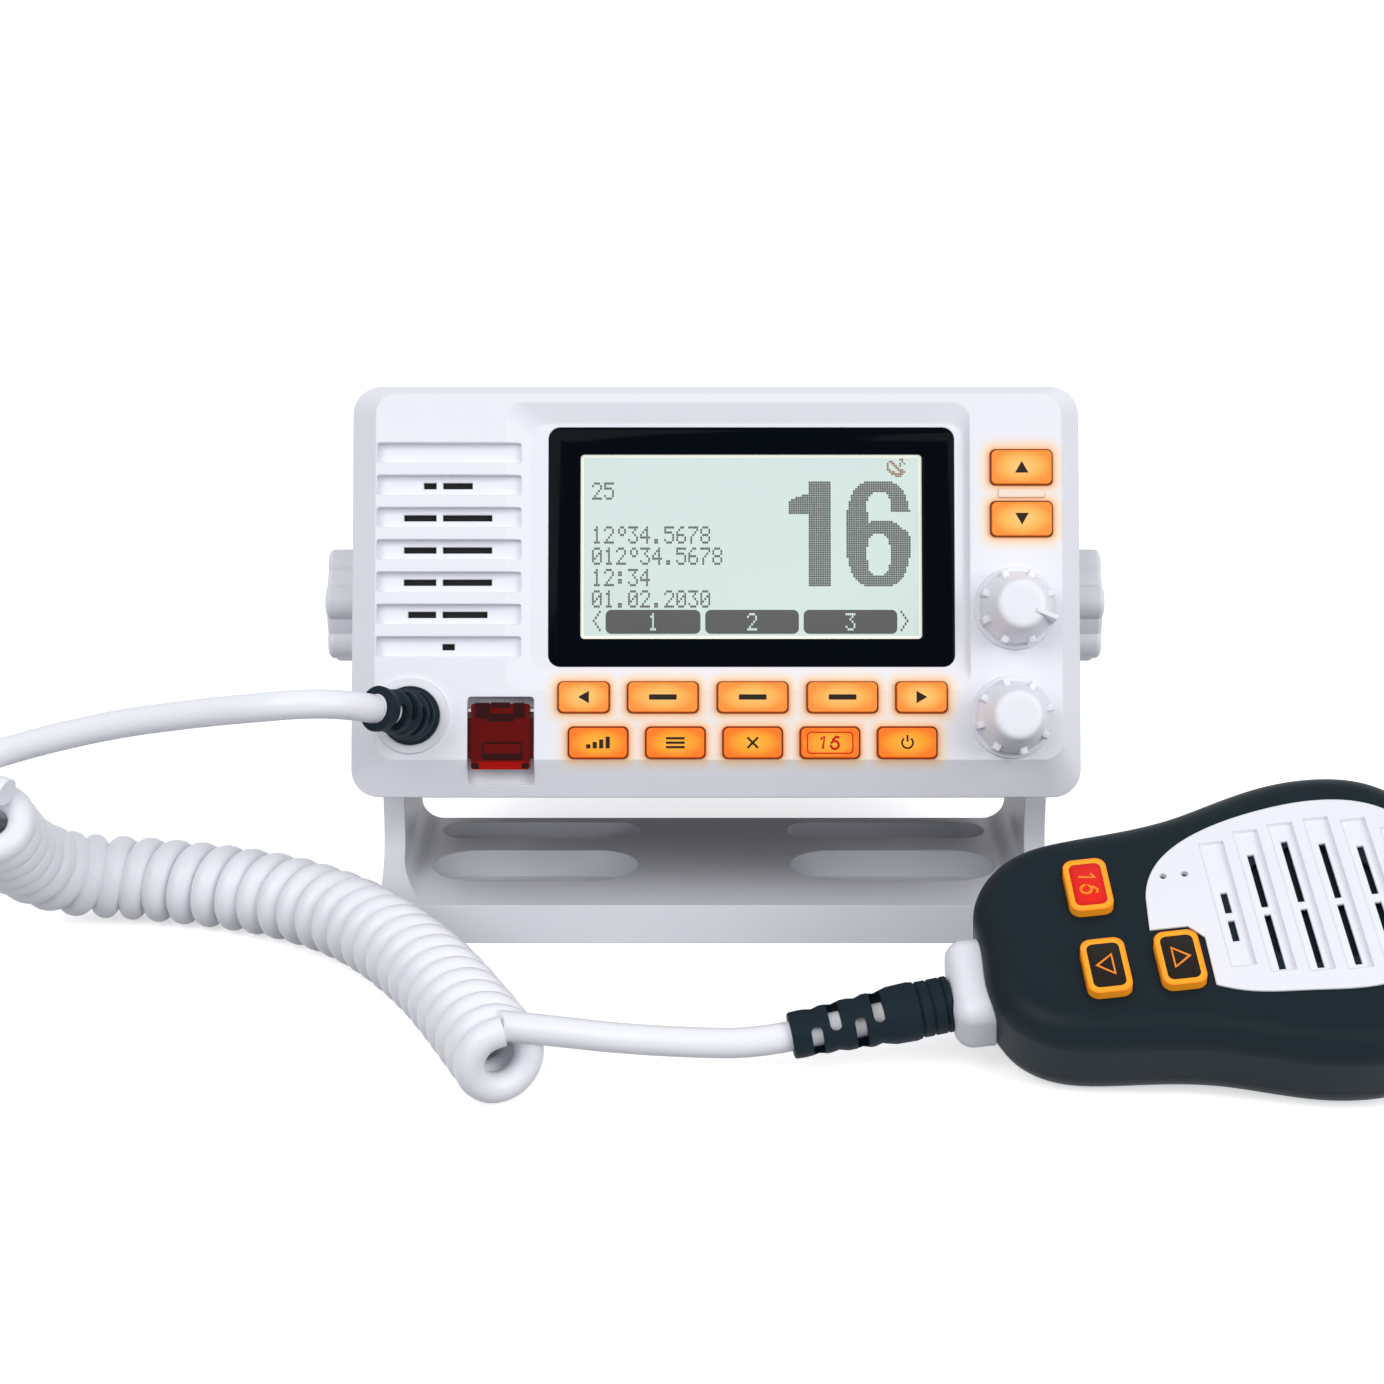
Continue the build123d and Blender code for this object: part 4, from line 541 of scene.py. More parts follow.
# %% [markdown]
# ## Modelling tools
# The pieces of the face are drawn in millimetres in the radio's own frame, where the front looks
# along -Y, and those of the microphone in its frame. These helpers do by script what a hand does in
# edit mode: pick faces or edges by where they are, round them, turn a disc into a knob, and put the
# finished piece in its place.

# %% Frames in millimetres
RADIO_MM = RADIO @ Matrix.Scale(MM, 4)
MIC_MM = MIC @ Matrix.Scale(MM, 4)
FLAT = Matrix.Rotation(-math.pi / 2, 4, "X")      # from the face's plane to the microphone's top


def activate(piece):
    """Select one piece and make it active."""
    deselect()
    piece.select_set(True)
    bpy.context.view_layer.objects.active = piece


def pick(piece, kind, test):
    """Select in edit mode the faces or edges that pass a test."""
    activate(piece)
    bpy.ops.object.mode_set(mode="EDIT")
    bpy.ops.mesh.select_mode(type=kind)
    bpy.ops.mesh.select_all(action="DESELECT")
    shape = bmesh.from_edit_mesh(piece.data)
    chosen = [item for item in (shape.faces if kind == "FACE" else shape.edges) if test(item)]
    for item in chosen:
        item.select_set(True)
    bmesh.update_edit_mesh(piece.data)


def modify(piece, kind, **settings):
    """Apply one modifier."""
    activate(piece)
    made = piece.modifiers.new(kind.lower(), kind)
    for key, value in settings.items():
        setattr(made, key, value)
    bpy.ops.object.modifier_apply(modifier=made.name)


def smooth(piece, degrees=40):
    """Shade a piece smooth, but for edges sharper than an angle."""
    activate(piece)
    bpy.ops.object.shade_smooth_by_angle(angle=math.radians(degrees))


def soften(piece, width):
    """Round the sharp edges of a piece."""
    modify(piece, "BEVEL", width=width, segments=2, limit_method="ANGLE")
    smooth(piece)


def plate(name, low, high, corner=0.0, axis=1):
    """A plate between two corners, with its edges along one axis rounded."""
    deselect()
    middle = [(a + b) / 2 for a, b in zip(low, high)]
    bpy.ops.mesh.primitive_cube_add(size=1, location=middle)
    piece = bpy.context.object
    piece.name = name
    piece.scale = [b - a for a, b in zip(low, high)]
    bpy.ops.object.transform_apply(location=True, rotation=True, scale=True)
    if corner:
        pick(piece, "EDGE", lambda e: abs((e.verts[0].co - e.verts[1].co).normalized()[axis]) > 0.9)
        bpy.ops.mesh.bevel(offset=corner, segments=5, affect="EDGES")
        deselect()
    return piece


def turned(name, profile, segments=48):
    """Turn a piece on the Y axis: a disc is extruded step by step, and resized at each step."""
    deselect()
    depth, radius = profile[0]
    bpy.ops.mesh.primitive_circle_add(vertices=segments, radius=radius, fill_type="NGON",
                                      location=(0, depth, 0), rotation=(math.pi / 2, 0, 0))
    piece = bpy.context.object
    piece.name = name
    bpy.ops.object.transform_apply(location=True, rotation=True, scale=True)
    bpy.ops.object.mode_set(mode="EDIT")
    bpy.ops.mesh.select_mode(type="FACE")
    bpy.ops.mesh.select_all(action="SELECT")
    for new_depth, new_radius in profile[1:]:
        bpy.ops.mesh.extrude_region_move(
            TRANSFORM_OT_translate={"value": (0, new_depth - depth, 0)})
        ratio = new_radius / radius
        bpy.ops.transform.resize(value=(ratio, 1, ratio), center_override=(0, new_depth, 0))
        depth, radius = new_depth, new_radius
    bpy.ops.mesh.select_all(action="SELECT")
    bpy.ops.mesh.normals_make_consistent(inside=False)
    deselect()
    return piece


def copy_turned(piece, angle):
    """A copy of a piece with its own mesh, turned about the Y axis."""
    twin = piece.copy()
    twin.data = piece.data.copy()
    bpy.context.scene.collection.objects.link(twin)
    twin.data.transform(Matrix.Rotation(angle, 4, "Y"))
    return twin


def join(pieces, name):
    """Join pieces into the first."""
    activate(pieces[0])
    for piece in pieces:
        piece.select_set(True)
    bpy.ops.object.join()
    pieces[0].name = name
    return pieces[0]


def dress(piece, place, body, finish, replaced=()):
    """Put a finished piece in place with its finish, make it ride on a body, and hide the solids
    that it stands for.
    """
    settle(piece, place)
    wear(piece, finish)
    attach(piece, body)
    if replaced:
        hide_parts(*replaced)
    return piece


# %% Ink tools
INK_T = 0.12          # ink stands this far proud of what it is printed on


def stroke(points, width, closed=False):
    """A line of ink in the X-Z plane, flat against its key."""
    data = bpy.data.curves.new("stroke", "CURVE")
    data.dimensions = "3D"
    data.bevel_depth = width / 2
    data.bevel_resolution = 1
    data.use_fill_caps = True
    spline = data.splines.new("POLY")
    spline.points.add(len(points) - 1)
    for point, (x, z) in zip(spline.points, points):
        point.co = (x, 0, z, 1)
    spline.use_cyclic_u = closed
    piece = bpy.data.objects.new("stroke", data)
    bpy.context.scene.collection.objects.link(piece)
    activate(piece)
    bpy.ops.object.convert(target="MESH")
    piece = bpy.context.object
    piece.data.transform(Matrix.Diagonal((1, 2 * INK_T / width, 1, 1)))
    return piece


def arrow(radius, angle):
    """A filled triangle of ink that points up, turned about the Y axis."""
    deselect()
    bpy.ops.mesh.primitive_cylinder_add(vertices=3, radius=radius, depth=2 * INK_T,
                                        rotation=(math.pi / 2, 0, 0))
    piece = bpy.context.object
    bpy.ops.object.transform_apply(location=True, rotation=True, scale=True)
    low = min(v.co.z for v in piece.data.vertices)
    piece.data.transform(Matrix.Rotation(angle, 4, "Y")
                         @ Matrix.Translation((0, 0, -(radius + low) / 2)))
    return piece


def arc(radius, start, end, steps=20, centre=(0.0, 0.0)):
    """Points on an arc, its angles in degrees clockwise from the top."""
    turns = [math.radians(start + (end - start) * i / steps) for i in range(steps + 1)]
    return [(centre[0] + radius * math.sin(t), centre[1] + radius * math.cos(t)) for t in turns]


# %% [markdown]
# ## The display
# Behind an acrylic window, printed black on its back around an opening, lies a reflective liquid
# crystal panel: grey-green, with a cream edge where its backlight leaks. What it shows is made of
# square dots. A grid with one face for each dot is cut down to the dots that are on, each is inset
# a little, and the thin gaps between them stay, as on the real panel.

# %% Window and panel
LCD_X0, LCD_X1 = -33.8, 51.3
LCD_Z0, LCD_Z1 = -12.2, 33.95
WINDOW_FRONT, WINDOW_BACK = -47.8, -46.0
LCD_FRONT = -47.25
window = plate("window_mask", (-41.7, WINDOW_FRONT, -19.1), (59.3, WINDOW_BACK, 40.6), 3.0)
opening = plate("opening", (LCD_X0, -50, LCD_Z0), (LCD_X1, -44, LCD_Z1), 1.0)
modify(window, "BOOLEAN", object=opening, operation="DIFFERENCE", solver="EXACT")
bpy.data.objects.remove(opening)
soften(window, 0.15)
dress(window, RADIO_MM, "radio", window_acrylic, ("display_window",))

panel = plate("panel_face", (LCD_X0 + 0.05, LCD_FRONT, LCD_Z0 + 0.05),
              (LCD_X1 - 0.05, WINDOW_BACK, LCD_Z1 - 0.05), 0.9)
pick(panel, "FACE", lambda f: f.normal.y < -0.9)
bpy.ops.mesh.inset(thickness=0.75, depth=-0.12)
deselect()
settle(panel, RADIO_MM)
wear(panel, panel_edge)
panel.data.materials.append(panel_glass)
front_way = RADIO.to_3x3() @ Vector((0, -1, 0))
glass = max((f for f in panel.data.polygons if f.normal.dot(front_way) > 0.99),
            key=lambda f: f.area)
glass.material_index = 1
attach(panel, "radio")
print("panel", round(LCD_X1 - LCD_X0, 1), "x", round(LCD_Z1 - LCD_Z0, 1), "mm")

# %% Dot numerals
# Seven rows of five dots for each sign, top row first, one bit for each dot.
DOT_SIGNS = {
    "0": (14, 17, 19, 21, 25, 17, 14), "1": (4, 12, 4, 4, 4, 4, 14),
    "2": (14, 17, 1, 2, 4, 8, 31), "3": (31, 2, 4, 2, 1, 17, 14),
    "4": (2, 6, 10, 18, 31, 2, 2), "5": (31, 16, 30, 1, 1, 17, 14),
    "6": (6, 8, 16, 30, 17, 17, 14), "7": (31, 1, 2, 4, 8, 8, 8),
    "8": (14, 17, 17, 14, 17, 17, 14), "9": (14, 17, 17, 15, 1, 2, 12),
    ":": (0, 12, 12, 0, 12, 12, 0), ".": (0, 0, 0, 0, 0, 12, 12), "'": (6, 9, 9, 6, 0, 0, 0),
    "<": (1, 2, 4, 8, 4, 2, 1), ">": (16, 8, 4, 2, 4, 8, 16), " ": (0,) * 7}
SIGN_COLS, SIGN_ROWS = 5, 7
DOT_X, DOT_Z = 0.5, 0.63          # pitch of the small dots
DOT_FRONT = LCD_FRONT + 0.12
LINES_X = -30.95                  # where each line of signs starts


def dots(name, columns, rows, lit, corner, pitch_x, pitch_z, finish, front=DOT_FRONT):
    """A block of display dots: a grid cut down to the lit ones."""
    deselect()
    wide, high = columns * pitch_x, rows * pitch_z
    bpy.ops.mesh.primitive_grid_add(x_subdivisions=columns, y_subdivisions=rows, size=1,
                                    rotation=(math.pi / 2, 0, 0),
                                    location=(corner[0] + wide / 2, front, corner[1] + high / 2))
    piece = bpy.context.object
    piece.name = name
    piece.scale = (wide, high, 1)
    bpy.ops.object.transform_apply(location=True, rotation=True, scale=True)

    def off(face):
        spot = face.calc_center_median()
        return not lit(int((spot.x - corner[0]) / pitch_x), int((spot.z - corner[1]) / pitch_z))

    pick(piece, "FACE", off)
    bpy.ops.mesh.delete(type="FACE")
    bpy.ops.mesh.select_all(action="SELECT")
    bpy.ops.mesh.inset(thickness=0.035, use_individual=True)
    bpy.ops.mesh.select_all(action="INVERT")
    bpy.ops.mesh.delete(type="FACE")
    deselect()
    modify(piece, "SOLIDIFY", thickness=0.05, offset=0.0)
    return dress(piece, RADIO_MM, "radio", finish)


def written(text):
    """Whether a dot is on in a line of signs, rows counted from the bottom."""
    def lit(column, row):
        place, bit = divmod(column, SIGN_COLS + 1)
        if bit == SIGN_COLS or place >= len(text):
            return False
        return bool(DOT_SIGNS[text[place]][SIGN_ROWS - 1 - row] >> (SIGN_COLS - 1 - bit) & 1)
    return lit


LINES = (("reading_1", "25", 22.6), ("reading_2", "12'34.5678", 11.6),
         ("reading_3", "012'34.5678", 6.3), ("reading_4", "12:34", 0.95),
         ("reading_5", "01.02.2030", -4.4))
for name, text, base in LINES:
    dots(name, len(text) * (SIGN_COLS + 1), SIGN_ROWS, written(text), (LINES_X, base), DOT_X,
         DOT_Z, dot_ink)

# %% The large channel number
BIG_COLS, BIG_ROWS = 55, 48
BIG_X, BIG_Z = 0.553, 0.548       # pitch of the large number's dots
ONE_W, SIX_AT = 19, 26            # columns of the figure one, and where the six starts


def big_one(column, row):
    """The figure one: a stem with a flag."""
    return 9 <= column < ONE_W or (33 <= row < 39 + column * 0.35 and column < 9)


def inside(x, z, cx, cz, rx, rz, power=2.6):
    """Whether a dot lies within a superellipse."""
    return abs((x - cx) / rx) ** power + abs((z - cz) / rz) ** power < 1


def big_six(column, row):
    """The figure six: an outer round, less its bowl, its hook and the gap at the right."""
    x, z = column + 0.5, row + 0.5
    if not inside(x, z, 14.5, 24, 14.5, 24.3, 2.9):
        return False
    if inside(x, z, 14.6, 14.6, 5.2, 9.6) or inside(x, z, 14.6, 36.5, 5.2, 6.6):
        return False
    bowl_top = 30.5 - 0.045 * (x - 16) ** 2
    return not (x > 9.5 and bowl_top < z < 34.5) and not (x > 14.6 and 31 < z < 34.5)


def channel_number(column, row):
    """The two figures side by side."""
    if column < ONE_W:
        return big_one(column, row)
    return column >= SIX_AT and big_six(column - SIX_AT, row)


big = dots("channel_number", BIG_COLS, BIG_ROWS, channel_number, (18.1, 0.95), BIG_X, BIG_Z,
           dot_ink)
print("channel number faces", len(big.data.polygons))

# %% The soft key boxes and the arrows at their ends
BOXES = ((-27.5, -3.9), (-2.7, 20.6), (21.8, 45.1))
for index, (x0, x1) in enumerate(BOXES):
    box = plate(f"soft_box_{index + 1}", (x0, DOT_FRONT - 0.03, -10.9),
                (x1, DOT_FRONT + 0.02, -4.9), 1.4)
    dress(box, RADIO_MM, "radio", dot_ink)
    middle = (x0 + x1) / 2
    dots(f"soft_number_{index + 1}", SIGN_COLS, SIGN_ROWS, written(str(index + 1)),
         (middle - SIGN_COLS * DOT_X / 2, -10.1), DOT_X, DOT_Z, panel_glass, DOT_FRONT - 0.06)
for name, sign, x in (("arrow_back", "<", -31.2), ("arrow_on", ">", 45.9)):
    dots(name, SIGN_COLS, SIGN_ROWS, written(sign), (x, -10.3), DOT_X, 0.75, dot_ink)

# %% The receiver sign
# A small dish with two waves, the plain sign for a position receiver.
DISH_SIGN = ("000000110", "011000010", "101100101", "100110100", "100011000", "110001110",
             "011100111", "001111110", "000011100")
dots("receiver_sign", 9, 9, lambda c, r: DISH_SIGN[8 - r][c] == "1", (42.6, 28.3), 0.52, 0.52,
     faded_ink)

# %% [markdown]
# ## Marks on the keys
# Each key carries one printed mark. The marks are thin pieces of ink on the cap's front, because a
# print that is a piece of its own stays sharp however near the camera comes. The arrows and dashes
# are those of any such set; the function keys get plain signs, and channel 16 its number.

# %% Ink on a key
KEY_FRONT = -51.2     # the front of a key's cap, in the radio's own frame


def mark(key, pieces, finish=key_ink):
    """Ink on a key of the face."""
    x, z = KEY_AT[key]
    piece = join(pieces, "mark_" + key[4:])
    place = RADIO_MM @ Matrix.Translation((x, KEY_FRONT, z))
    dress(piece, place, key, finish)


# %% Arrows and dashes
QUARTER = math.pi / 2
mark("key_left", [arrow(1.75, -QUARTER)])
mark("key_right", [arrow(1.75, QUARTER)])
mark("key_up", [arrow(1.9, 0)])
mark("key_down", [arrow(1.9, 2 * QUARTER)])
for key in SOFT_KEYS:
    mark(key, [plate("dash", (-3.4, -INK_T, -0.65), (3.4, INK_T, 0.65), 0.25)])

# %% Signs on the function keys
bars = [plate("bar", (x - 0.5, -INK_T, -1.4), (x + 0.5, INK_T, -1.4 + h), 0.1)
        for x, h in ((-2.4, 1.0), (-0.8, 1.6), (0.8, 2.2), (2.4, 2.9))]
mark("key_power_level", bars)
rows = [plate("row", (-2.3, -INK_T, z - 0.28), (2.3, INK_T, z + 0.28), 0.1)
        for z in (-1.1, 0.0, 1.1)]
mark("key_menu", rows)
cross = [stroke(((-1.3, -1.3), (1.3, 1.3)), 0.6), stroke(((-1.3, 1.3), (1.3, -1.3)), 0.6)]
mark("key_clear", cross)
ring = [stroke(arc(1.35, 40, 320), 0.5), stroke(((0, 0.3), (0, 1.9)), 0.5)]
mark("key_power", ring)


def rounded_path(wide, high, corner):
    """The outline of a rounded rectangle."""
    points = []
    for sx, sz, start in ((1, 1, 0), (1, -1, 90), (-1, -1, 180), (-1, 1, 270)):
        centre = (sx * (wide / 2 - corner), sz * (high / 2 - corner))
        points += arc(corner, start, start + 90, 4, centre)
    return points


def sixteen(scale, width):
    """The number of the calling channel, in strokes that lean a little."""
    one = ((-2.35, 0.85), (-1.35, 1.5), (-1.85, -1.5))
    six = [(2.3, 1.25), (1.5, 1.5), (0.75, 0.8)] + arc(0.98, -75, 270, 20, (1.15, -0.55))
    return [stroke([(x * scale, z * scale) for x, z in line], width) for line in (one, six)]


badge = sixteen(1.0, 0.7) + [stroke(rounded_path(11.2, 5.2, 0.9), 0.35, True)]
mark("key_channel_16", badge, red_ink)

# %% [markdown]
# ## What shows through the red cover
# The cover is thick clear red plastic. The small key under it, and the hinge with its spring at the
# top, show through as darker shapes. They are drawn as thin pieces on the lid, in the outlines of
# those parts and in a painted shade colour, and swing with it.

# %% Shapes behind the cover
COVER_X, COVER_FRONT = -53.35, -50.3
seen_key = [stroke([(x + 0.45, z) for x, z in rounded_path(9.6, 4.0, 0.5)], 0.55, True),
            plate("under", (-4.2, -0.03, -1.9), (5.1, 0.03, -0.6), 0.2)]
hinge = [plate("block", (-2.4, -0.05, 10.6), (2.4, 0.05, 12.0), 0.3),
         plate("rail_left", (-6.3, -0.04, 8.0), (-2.6, 0.04, 11.9), 0.4),
         plate("rail_right", (3.1, -0.04, 8.0), (6.0, 0.04, 11.9), 0.4),
         plate("spring", (-3.4, -0.05, 7.2), (3.4, 0.05, 9.2), 0.5)]
corners = [plate("foot", (x - 0.9, -0.05, -4.4), (x + 0.9, 0.05, -2.9), 0.3) for x in (-6.2, 6.2)]
# Thin pieces in the shapes of the key and hinge under the lid, their dark red colour painted shade
shade = join(seen_key + hinge + corners, "cover_painted_shade")
dress(shade, RADIO_MM @ Matrix.Translation((COVER_X, COVER_FRONT, -40.1)), "distress_cover",
      cover_shade)

# %% [markdown]
# ## The two knobs
# Each knob is moulded white plastic: a stem through the face, a skirt with eight square posts round
# its rim for wet fingers, and a round cap. A disc is extruded along the axis and resized at each
# step, which is how a turned form is built up by hand, and one post is copied round the rim. The
# volume knob also has a longer post that runs onto the cap and points to the setting.

# %% Knobs
KNOBS = {"knob_volume": (74.1, -4.8, 22.5), "knob_channel": (73.1, -31.8, -14.0)}
KNOB_PROFILE = ((-38.1, 3.0), (-51.1, 3.01), (-51.11, 8.6), (-51.5, 8.9), (-54.6, 8.8),
                (-55.6, 8.5), (-57.0, 8.0), (-63.4, 6.35), (-64.4, 5.9), (-64.9, 5.2),
                (-65.0, 4.4), (-64.95, 2.0))
POSTS = 8
for name, (x, z, turn) in KNOBS.items():
    body = turned(name + "_cap", KNOB_PROFILE, 64)
    smooth(body, 50)
    post = plate("post", (7.0, -57.6, -0.9), (9.6, -51.2, 0.9), 0.3)
    soften(post, 0.3)
    parts = [body] + [copy_turned(post, math.radians(turn + 360 / POSTS * i))
                      for i in range(POSTS)]
    if name == "knob_volume":
        finger = plate("finger", (3.6, -65.4, -0.6), (9.3, -57.0, 0.6), 0.25)
        soften(finger, 0.2)
        parts.append(copy_turned(finger, math.radians(turn)))
        bpy.data.objects.remove(finger)
    bpy.data.objects.remove(post)
    knob = join(parts, name + "_cap")
    dress(knob, RADIO_MM @ Matrix.Translation((x, 0, z)), name, white_abs,
          (name,))
print("knob faces", len(knob.data.polygons))

# %% [markdown]
# ## The rubber boots
# A boot keeps the cord from being bent sharply where it enters the set. Its wall is cut into
# staggered slots, so it bends evenly, and the cord shows through them. The boot is turned first,
# with a bead between the slots, then slots and bore are cut with a Boolean.

# %% Boot tools
BOOT_BORE = 3.6


def slotted_boot(name, profile, slots, length):
    """A turned boot along Y, bored, with slots: (along, half width, angle, reach)."""
    boot = turned(name, profile, 64)
    cutters = [turned("bore", ((-1, BOOT_BORE), (length + 1, BOOT_BORE * 1.001)), 48)]
    for along_y, half, angle, reach in slots:
        slot = plate("slot", (-reach, along_y - half, BOOT_BORE * 0.6),
                     (reach, along_y + half, 12), 0.9, axis=2)
        cutters.append(copy_turned(slot, math.radians(angle)))
        cutters.append(copy_turned(slot, math.radians(angle + 180)))
        bpy.data.objects.remove(slot)
    for cutter in cutters:
        modify(boot, "BOOLEAN", object=cutter, operation="DIFFERENCE", solver="EXACT")
        bpy.data.objects.remove(cutter)
    smooth(boot, 35)
    return boot


# %% Boot at the microphone
MIC_BOOT_L = 37.7
MIC_BOOT = MIC_MM @ Matrix.Translation((-46.5, -5.0, -15.0)) @ Matrix.Rotation(
    math.radians(96.5), 4, "Z")
MIC_BOOT_PROFILE = (
    (0.0, 6.2), (0.3, 6.5), (1.4, 6.5), (1.7, 6.1), (2.0, 6.5), (4.4, 6.5), (4.8, 6.1), (5.2, 6.5),
    (7.2, 6.5), (7.6, 6.1), (8.0, 6.6), (9.2, 6.85), (14.0, 6.7), (15.6, 6.3), (17.3, 5.8),
    (19.0, 6.2), (20.0, 6.2), (21.8, 5.6), (23.6, 5.9), (25.2, 5.9), (27.4, 5.3), (29.0, 5.6),
    (30.2, 5.6), (32.0, 5.1), (33.6, 5.4), (35.2, 5.5), (37.3, 5.4),
    (MIC_BOOT_L, 5.1))
TOWARD = MIC_BOOT.to_3x3().inverted() @ Vector((-0.06, -0.90, 0.42))
SIDE = math.degrees(math.atan2(TOWARD.x, TOWARD.z))     # the side that faces the front
MIC_BOOT_SLOTS = ((17.3, 1.35, SIDE + 36, 4.2), (21.8, 1.35, SIDE - 36, 4.0),
                  (27.4, 1.35, SIDE + 36, 3.8), (32.0, 1.35, SIDE - 36, 3.6))
mic_boot = slotted_boot("mic_boot_slotted", MIC_BOOT_PROFILE, MIC_BOOT_SLOTS, MIC_BOOT_L)
dress(mic_boot, MIC_BOOT, "microphone", black_rubber, ("mic_boot",))
core = turned("mic_boot_core", ((0.2, 3.3), (0.4, 3.5), (MIC_BOOT_L - 0.2, 3.51)), 32)
smooth(core)
dress(core, MIC_BOOT, "microphone", cord_pvc)

# %% Boot at the face
GLAND_X, GLAND_Z = -75.6, -31.4
STRAIGHT, BEND_R, BEND, ROLL = 4.0, 30.0, math.radians(37), math.radians(8.5)
FACE_BOOT_L = STRAIGHT + BEND_R * BEND
FACE_BOOT_PROFILE = (
    (0.0, 7.0), (0.25, 7.25), (1.7, 7.25), (2.1, 6.9), (2.6, 6.2), (3.6, 6.0), (4.6, 6.5),
    (6.0, 6.5), (7.3, 5.7), (8.6, 6.1), (9.8, 6.1), (11.2, 5.4), (12.6, 5.8), (13.8, 5.8),
    (15.2, 5.0), (16.6, 5.4), (17.8, 5.3), (19.0, 4.7), (20.6, 4.9), (21.6, 5.4), (23.0, 5.55),
    (23.37, 5.3))
FACE_BOOT_SLOTS = ((7.3, 1.1, 60, 4.0), (11.2, 1.1, 110, 3.8), (15.2, 1.1, 60, 3.6),
                   (19.0, 1.1, 110, 3.4))
face_boot = slotted_boot("cord_boot_slotted", FACE_BOOT_PROFILE, FACE_BOOT_SLOTS, FACE_BOOT_L)
face_core = turned("cord_boot_core", ((-1.5, 3.3), (-1.3, 3.5)) + tuple(
    (2.0 * i, 3.5 + 0.001 * i) for i in range(1, 12)) + ((FACE_BOOT_L - 0.1, 3.52),), 32)
smooth(face_core)


def bend_boot(piece):
    """Bend a piece that stands along Y as its boot bends: straight, then an arc to one side."""
    ahead = Vector((0, -1, 0))
    aside = Vector((-math.cos(ROLL), 0, math.sin(ROLL)))
    across = ahead.cross(aside)
    start = Vector((GLAND_X, FACE, GLAND_Z))
    for vertex in piece.data.vertices:
        a, run, b = vertex.co
        turn = max(run - STRAIGHT, 0) / BEND_R
        line = min(run, STRAIGHT)
        vertex.co = (start + ahead * (line + (BEND_R - a) * math.sin(turn))
                     + aside * (BEND_R - (BEND_R - a) * math.cos(turn)) + across * b)


for piece, slot, finish, replaced in ((face_boot, "black_rubber", black_rubber, ("cord_boot",)),
                                      (face_core, "white_cord", cord_pvc, ())):
    bend_boot(piece)
    activate(piece)
    bpy.ops.object.mode_set(mode="EDIT")
    bpy.ops.mesh.select_all(action="SELECT")
    bpy.ops.mesh.normals_make_consistent(inside=False)
    dress(piece, RADIO_MM, "radio", finish, replaced)
print("boot faces", len(mic_boot.data.polygons), len(face_boot.data.polygons))

# %% [markdown]
# ## The microphone's keys
# The keys are the same lit silicone, but they show only at their edges: each top carries a hard
# inlay, black under the two arrows and red under the channel key.

# %% Microphone key inlays
MIC_KEY_TOP = 1.6
MIC_KEY_PLACES = {"mic_key_channel": (-12.0, 12.3), "mic_key_down": (-12.0, -11.0),
                  "mic_key_up": (4.7, -11.0)}
for name, (a, w) in MIC_KEY_PLACES.items():
    inlay = plate(name + "_inlay", (-3.7, -6.0, -0.3), (3.7, 6.0, 0.14), 1.5, axis=2)
    soften(inlay, 0.1)
    place = MIC_MM @ Matrix.Translation((a, w, MIC_KEY_TOP))
    red = name == "mic_key_channel"
    dress(inlay, place, name,
          red_silicone if red else key_inlay)
    if red:
        sign = join(sixteen(1.25, 0.75), "sign")
        sign.data.transform(Matrix.Rotation(QUARTER, 4, "Y"))
    else:
        point = -2.1 if name == "mic_key_down" else 2.1
        sign = stroke(((point, 0), (-0.75 * point, 2.7), (-0.75 * point, -2.7)), 0.95, True)
    sign.name = name + "_sign"
    dress(sign, place @ Matrix.Translation((0, 0, 0.14)) @ FLAT, name,
          mic_silicone)

# %% [markdown]
# ## Floor, backdrop and light
# The set stands on a plain white table under an even white sky, lit by two large soft lamps. The
# floor shows white to the camera but still keeps the soft shadows.

# %% What the camera sees


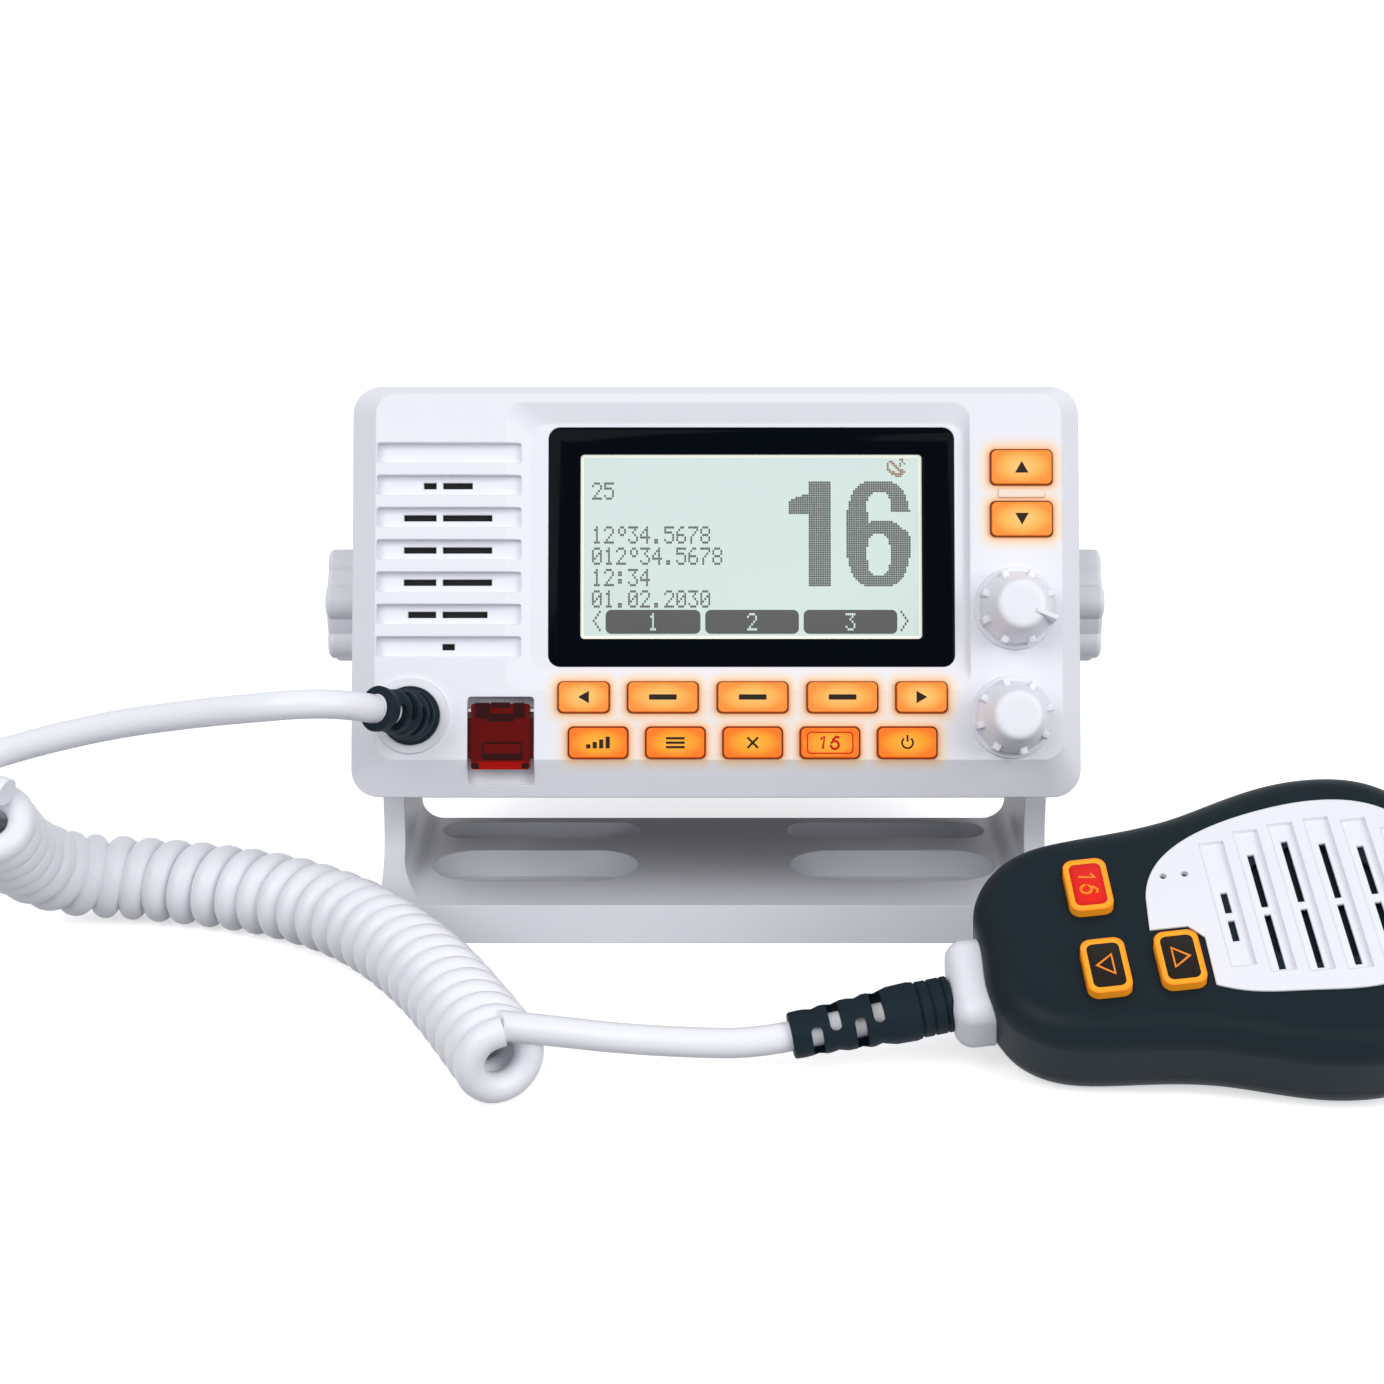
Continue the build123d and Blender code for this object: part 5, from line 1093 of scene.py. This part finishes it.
def seen_directly(tree):
    """1 for what the camera sees, also in gloss and through glass, and 0 for other light."""
    path = add(tree, "ShaderNodeLightPath")
    seen = path.outputs["Is Camera Ray"]
    for ray in ("Is Glossy Ray", "Is Transmission Ray"):
        seen = add(tree, "ShaderNodeMath", {0: seen, 1: path.outputs[ray]},
                   operation="MAXIMUM").outputs[0]
    return seen


# %% Floor
bpy.ops.mesh.primitive_plane_add(size=8, location=(0, 0, 0))
floor = bpy.context.object
floor.name = "floor"
paper, tree, output = material("white table top")
seen = seen_directly(tree)
top = between(tree, seen, "#8c8c90", "#ffffff")
diffuse = add(tree, "ShaderNodeBsdfDiffuse", {"Color": top})
glow = add(tree, "ShaderNodeEmission", {"Strength": seen}, Color=rgb("#c4c4c4"))
both = add(tree, "ShaderNodeAddShader", {0: diffuse.outputs[0], 1: glow.outputs[0]})
tree.links.new(both.outputs[0], output.inputs[0])
floor.data.materials.append(paper)

# %% World and lamps
world = bpy.data.worlds.new("sky")
bpy.context.scene.world = world
world.use_nodes = True
tree = world.node_tree
tree.nodes.clear()
seen = seen_directly(tree)
light = add(tree, "ShaderNodeBackground", Color=rgb("#f6f8ff"), Strength=0.55)
white = add(tree, "ShaderNodeBackground", Color=rgb("#ffffff"), Strength=1.0)
choose = add(tree, "ShaderNodeMixShader", {0: seen, 1: light.outputs[0], 2: white.outputs[0]})
sky_out = tree.nodes.new("ShaderNodeOutputWorld")
tree.links.new(choose.outputs[0], sky_out.inputs[0])
LAMP_AIM = (0, 0, 0.05)
LAMP_SIZE, LAMP_POWER = 0.9, 8.5


def lamp(name, at):
    """A square soft box that points at the set."""
    data = bpy.data.lights.new(name, "AREA")
    data.size = LAMP_SIZE
    data.energy = LAMP_POWER
    piece = bpy.data.objects.new(name, data)
    piece.location = at
    piece.rotation_euler = (Vector(LAMP_AIM) - Vector(at)).to_track_quat("-Z", "Y").to_euler()
    bpy.context.scene.collection.objects.link(piece)


lamp("key light", (-0.7, -1.05, 0.95))
lamp("fill light", (0.95, -0.9, 0.7))
